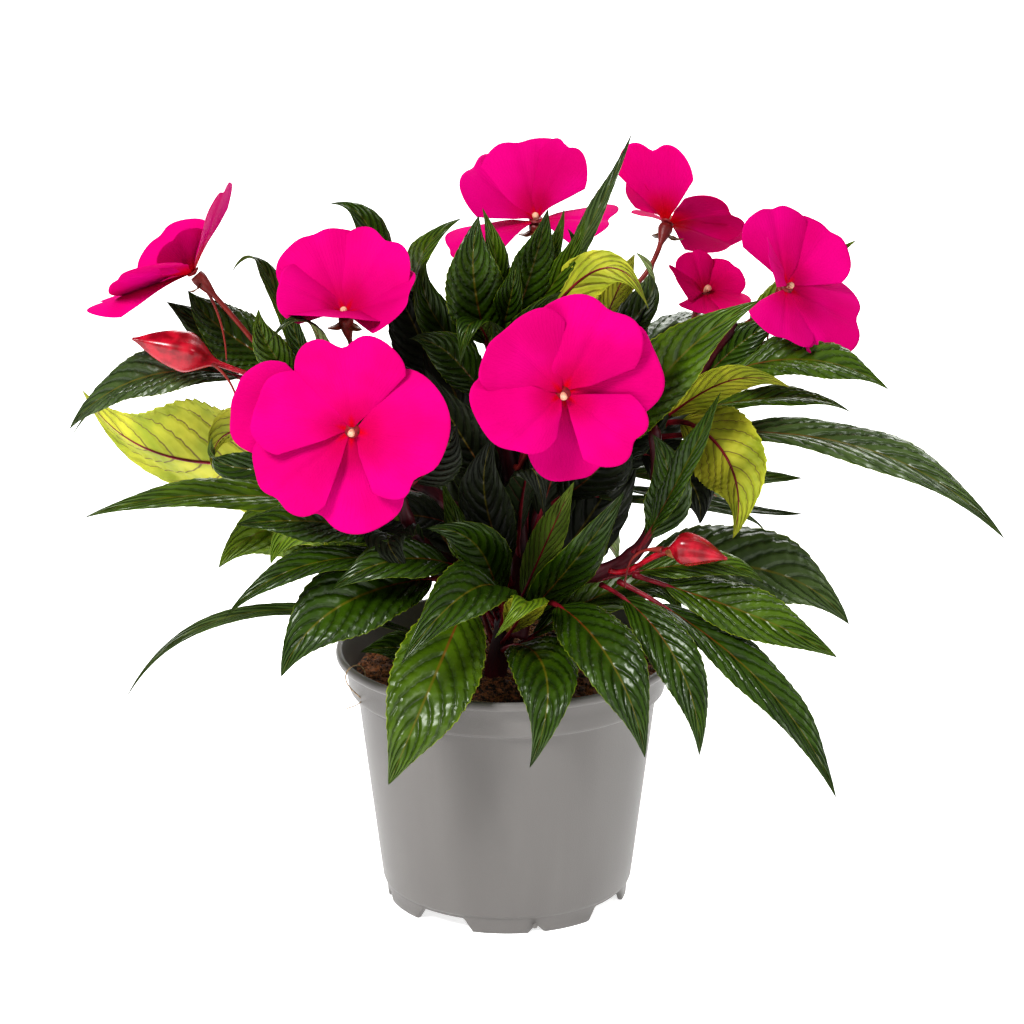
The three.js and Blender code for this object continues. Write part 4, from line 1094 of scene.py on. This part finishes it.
# %% Pot material
def pot_finish():
    shader = Shader("pot_grey_plastic")
    flow = shader.noise(30, 3, stretch=(1, 1, 0.12))
    speck = shader.noise(2500, 2)
    scuff = shader.noise(220, 6, 0.7).step(0.62, 0.74)
    base = shader.mix(flow.step(0.3, 0.7), (0.115, 0.108, 0.103), (0.135, 0.128, 0.122))
    base = shader.mix(scuff * 0.12, base, (0.2, 0.19, 0.185))
    return shader.finish(base, 0.42 + scuff * 0.15 + (speck - 0.5) * 0.1, bump=speck + flow * 0.6,
                         bump_height=0.00006, Specular_IOR_Level=0.3)


# %% Pot
POT_SIDES = 288
NOTCH_WIDE, NOTCH_NARROW = math.radians(-122), math.radians(-76)


def foot_lift(angle):
    """How far a notch raises the foot's bottom edge: a trapezium or a small triangle, four times round."""
    quarter = math.pi / 2
    wide = np.abs(np.mod(angle - NOTCH_WIDE + quarter / 2, quarter) - quarter / 2) * 46 * MM
    narrow = np.abs(np.mod(angle - NOTCH_NARROW + quarter / 2, quarter) - quarter / 2) * 46 * MM
    lift_wide = np.clip((12.6 * MM - wide) / (3.6 * MM), 0, 1) * 5 * MM
    lift_narrow = np.clip((3.2 * MM - narrow) / (3.2 * MM), 0, 1) * 3.2 * MM
    return np.maximum(lift_wide, lift_narrow)


pot_high = np.array(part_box("pot")[1])
lip_radius = float(pot_high[0])
pot_height = float(pot_high[2])
profile = np.array([
    [0, 7], [20, 7], [43.2, 7], [43.5, 6.6], [44.0, 1], [44.3, 0.1], [44.8, 0], [45.6, 0], [46, 0.3], [46.2, 2],
    [46.6, 6.2], [46.9, 6.6], [47.5, 7.1], [47.8, 8], [49, 17.5], [51, 34], [53, 50.2], [55, 66.4], [56.8, 81.8],
    [57, 82.6], [57.4, 83], [59.5, 83.6], [60, 84.1], [60.2, 85], [61, 90], [61.4, 94.4], [61.9, 95.2],
    [63.6, 95.4], [64.5, 95.7], [64.9, 96.4], [65, 97.2], [64.8, 98.2], [64.3, 98.8], [63.6, 99], [62.9, 98.8],
    [62.4, 98.2], [61.6, 95], [59.6, 90], [58.4, 85], [58, 84.2], [55.6, 82], [55.1, 81], [53, 64.5], [50, 40.5],
    [46.3, 10.6], [45.6, 9.4], [44.6, 9], [20, 9], [0, 9],
])
profile = profile * [lip_radius / (65 * MM), pot_height / (99 * MM)]
angle = np.linspace(0, 2 * math.pi, POT_SIDES, endpoint=False)
raised = foot_lift(angle)[None] * ease(7, 0, profile[:, 1:2]) * (profile[:, :1] > 43)
radii = profile[:, :1] + 0 * angle[None]
heights = profile[:, 1:2] + raised / MM
# rows from the middle of the underside, out, up and over the lip, and back to the middle of the floor
body = np.stack([radii * np.cos(angle), radii * np.sin(angle), heights], axis=-1) * MM
points, quads, triangles = skin(body[1:-1])
pot = put_mesh("pot_moulding", points, quads[:, ::-1], triangles[:, ::-1], pot_finish())
finish_piece(pot, ["pot"])
PIP_ENDS = np.array([(10.5, -46.2, 3.5), (10.7, -46.8, 3.5)]) * MM
PIP_RADII = np.array([1, 1, 1, 1, 1, 0.9, 0.7, 0.3]) * MM
pip = tube(np.linspace(PIP_ENDS[0], PIP_ENDS[1], len(PIP_RADII)), PIP_RADII, 16)
finish_piece(put_mesh("pot_pip", *skin(pip), pot.data.materials[0]))
print("pot", len(pot.data.polygons), "faces, lip radius", round(lip_radius, 4))

# %% [markdown]
# ## The soil
#
# Peat settles into a lumpy surface of crumbs of every size. The surface is a disc whose height is a sum of
# random bumps, and some hundreds of loose crumbs lie on it.

# %% Soil
SOIL_FINISH = plain_finish("peat_brown", (0.012, 0.004, 0.0015), (0.2, 0.075, 0.025), 0.9, 420)


def bumps(x, y, count, size, height, seed):
    """A sum of rounded bumps at random places."""
    draw = np.random.default_rng(seed)
    places = draw.uniform(-60 * MM, 60 * MM, (count, 2))
    total = np.zeros_like(x)
    for place, amount in zip(places, draw.uniform(0.3, 1, count)):
        total = total + amount * np.exp(-((x - place[0]) ** 2 + (y - place[1]) ** 2) / (size * size))
    return height * total


soil_high = np.array(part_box("soil")[1])
edge = float(soil_high[0]) - 0.3 * MM
ring_radii = edge * np.linspace(0.01, 1, 60)
turn = np.linspace(0, 2 * math.pi, 180, endpoint=False)
flat_x, flat_y = ring_radii[:, None] * np.cos(turn), ring_radii[:, None] * np.sin(turn)
surface = 88.2 * MM + bumps(flat_x, flat_y, 260, 3.5 * MM, 1.1 * MM, 5) + bumps(flat_x, flat_y, 60, 9 * MM, 1.2 * MM, 6)
surface = np.minimum(surface, 93.5 * MM)
top = np.stack([flat_x, flat_y, surface], axis=-1)
side_rows = []
for share, height in ((0.995, 83), (0.96, 80), (0.8, 10), (0.75, 9.4)):
    ring = np.stack([edge * share * np.cos(turn), edge * share * np.sin(turn), np.full(180, height * MM)], axis=-1)
    side_rows.append(ring)
inward = np.stack([0.05 * MM * np.cos(turn), 0.05 * MM * np.sin(turn), np.full(180, 9.4 * MM)], axis=-1)
rows = np.concatenate([top, np.array(side_rows), inward[None]])
soil = put_mesh("soil_peat", *skin(rows[:, ::-1]), SOIL_FINISH)
finish_piece(soil, ["soil"])


def crumb_field(count, seed):
    """Loose crumbs: eight-cornered lumps, each stretched and turned at random."""
    draw = np.random.default_rng(seed)
    reach = edge * np.sqrt(draw.uniform(0, 0.93, count))
    where = draw.uniform(0, 2 * math.pi, count)
    x, y = reach * np.cos(where), reach * np.sin(where)
    ground = 88.2 * MM + bumps(x, y, 260, 3.5 * MM, 1.1 * MM, 5) + bumps(x, y, 60, 9 * MM, 1.2 * MM, 6)
    height = np.minimum(ground, 93.5 * MM)
    corners = np.array([[0, 0, 1], [1, 0, 0], [0, 1, 0], [-1, 0, 0], [0, -1, 0], [0, 0, -1]], dtype=float)
    faces = np.array([[0, 1, 2], [0, 2, 3], [0, 3, 4], [0, 4, 1], [5, 2, 1], [5, 3, 2], [5, 4, 3], [5, 1, 4]])
    size = draw.uniform(0.4, 2.0, (count, 1, 3)) * MM * draw.uniform(0.5, 1, (count, 1, 1))
    spin = draw.uniform(0, 2 * math.pi, count)
    local = corners[None] * size * draw.uniform(0.75, 1.25, (count, 6, 1))
    turned = np.stack([
        local[..., 0] * np.cos(spin)[:, None] - local[..., 2] * np.sin(spin)[:, None], local[..., 1],
        local[..., 0] * np.sin(spin)[:, None] + local[..., 2] * np.cos(spin)[:, None],
    ], axis=-1)
    points = turned + np.stack([x, y, height], axis=-1)[:, None]
    triangles = (faces[None] + 6 * np.arange(count)[:, None, None]).reshape(-1, 3)
    return points.reshape(-1, 3), triangles


crumb_points, crumb_triangles = crumb_field(3600, 8)
crumbs = put_mesh("soil_crumbs", crumb_points, np.zeros((0, 4), int), crumb_triangles, SOIL_FINISH)
finish_piece(crumbs)
print("soil rows", len(rows), "crumbs", len(crumb_triangles) // 8)

# %% [markdown]
# A few fine roots lie on the peat. One has grown up over the lip at the left and hangs down outside.

# %% Roots
ROOT = plain_finish("root_straw", (0.2, 0.13, 0.07), (0.42, 0.3, 0.18), 0.7, 900)
ROOTS = [
    [(-48, -22, 90), (-53, -25, 96), (-56, -26.5, 100.3), (-58.5, -28, 99.8), (-60, -28.8, 95), (-60, -29, 84)],
    [(6, -44, 91), (12, -48, 92), (19, -49, 91.5), (24, -46, 90)],
    [(-14, -40, 91), (-6, -46, 92.5), (2, -50, 92), (8, -53, 90.5)],
    [(36, -34, 91), (42, -36, 92.5), (46, -32, 91.5)],
]
for number, places in enumerate(ROOTS):
    path = smooth_path(np.array(places) * MM, 60, min(len(places) - 1, 5))
    finish_piece(put_mesh(f"root_{number + 1}", *skin(tube(path, np.linspace(0.35, 0.2, 60) * MM, 8)), ROOT))
print("roots", len(ROOTS))

# %% Floor
floor_shader = Shader("floor_white")
floor_mesh = bpy.data.meshes.new("floor")
floor_mesh.from_pydata([(-6, -6, 0), (6, -6, 0), (6, 6, 0), (-6, 6, 0)], [], [(0, 1, 2, 3)])
floor_mesh.materials.append(floor_shader.finish(
    (0.93, 0.93, 0.93), 0.6, Emission_Color=(1, 1, 1, 1), Emission_Strength=0.6))
floor = bpy.data.objects.new("floor", floor_mesh)
bpy.context.collection.objects.link(floor)
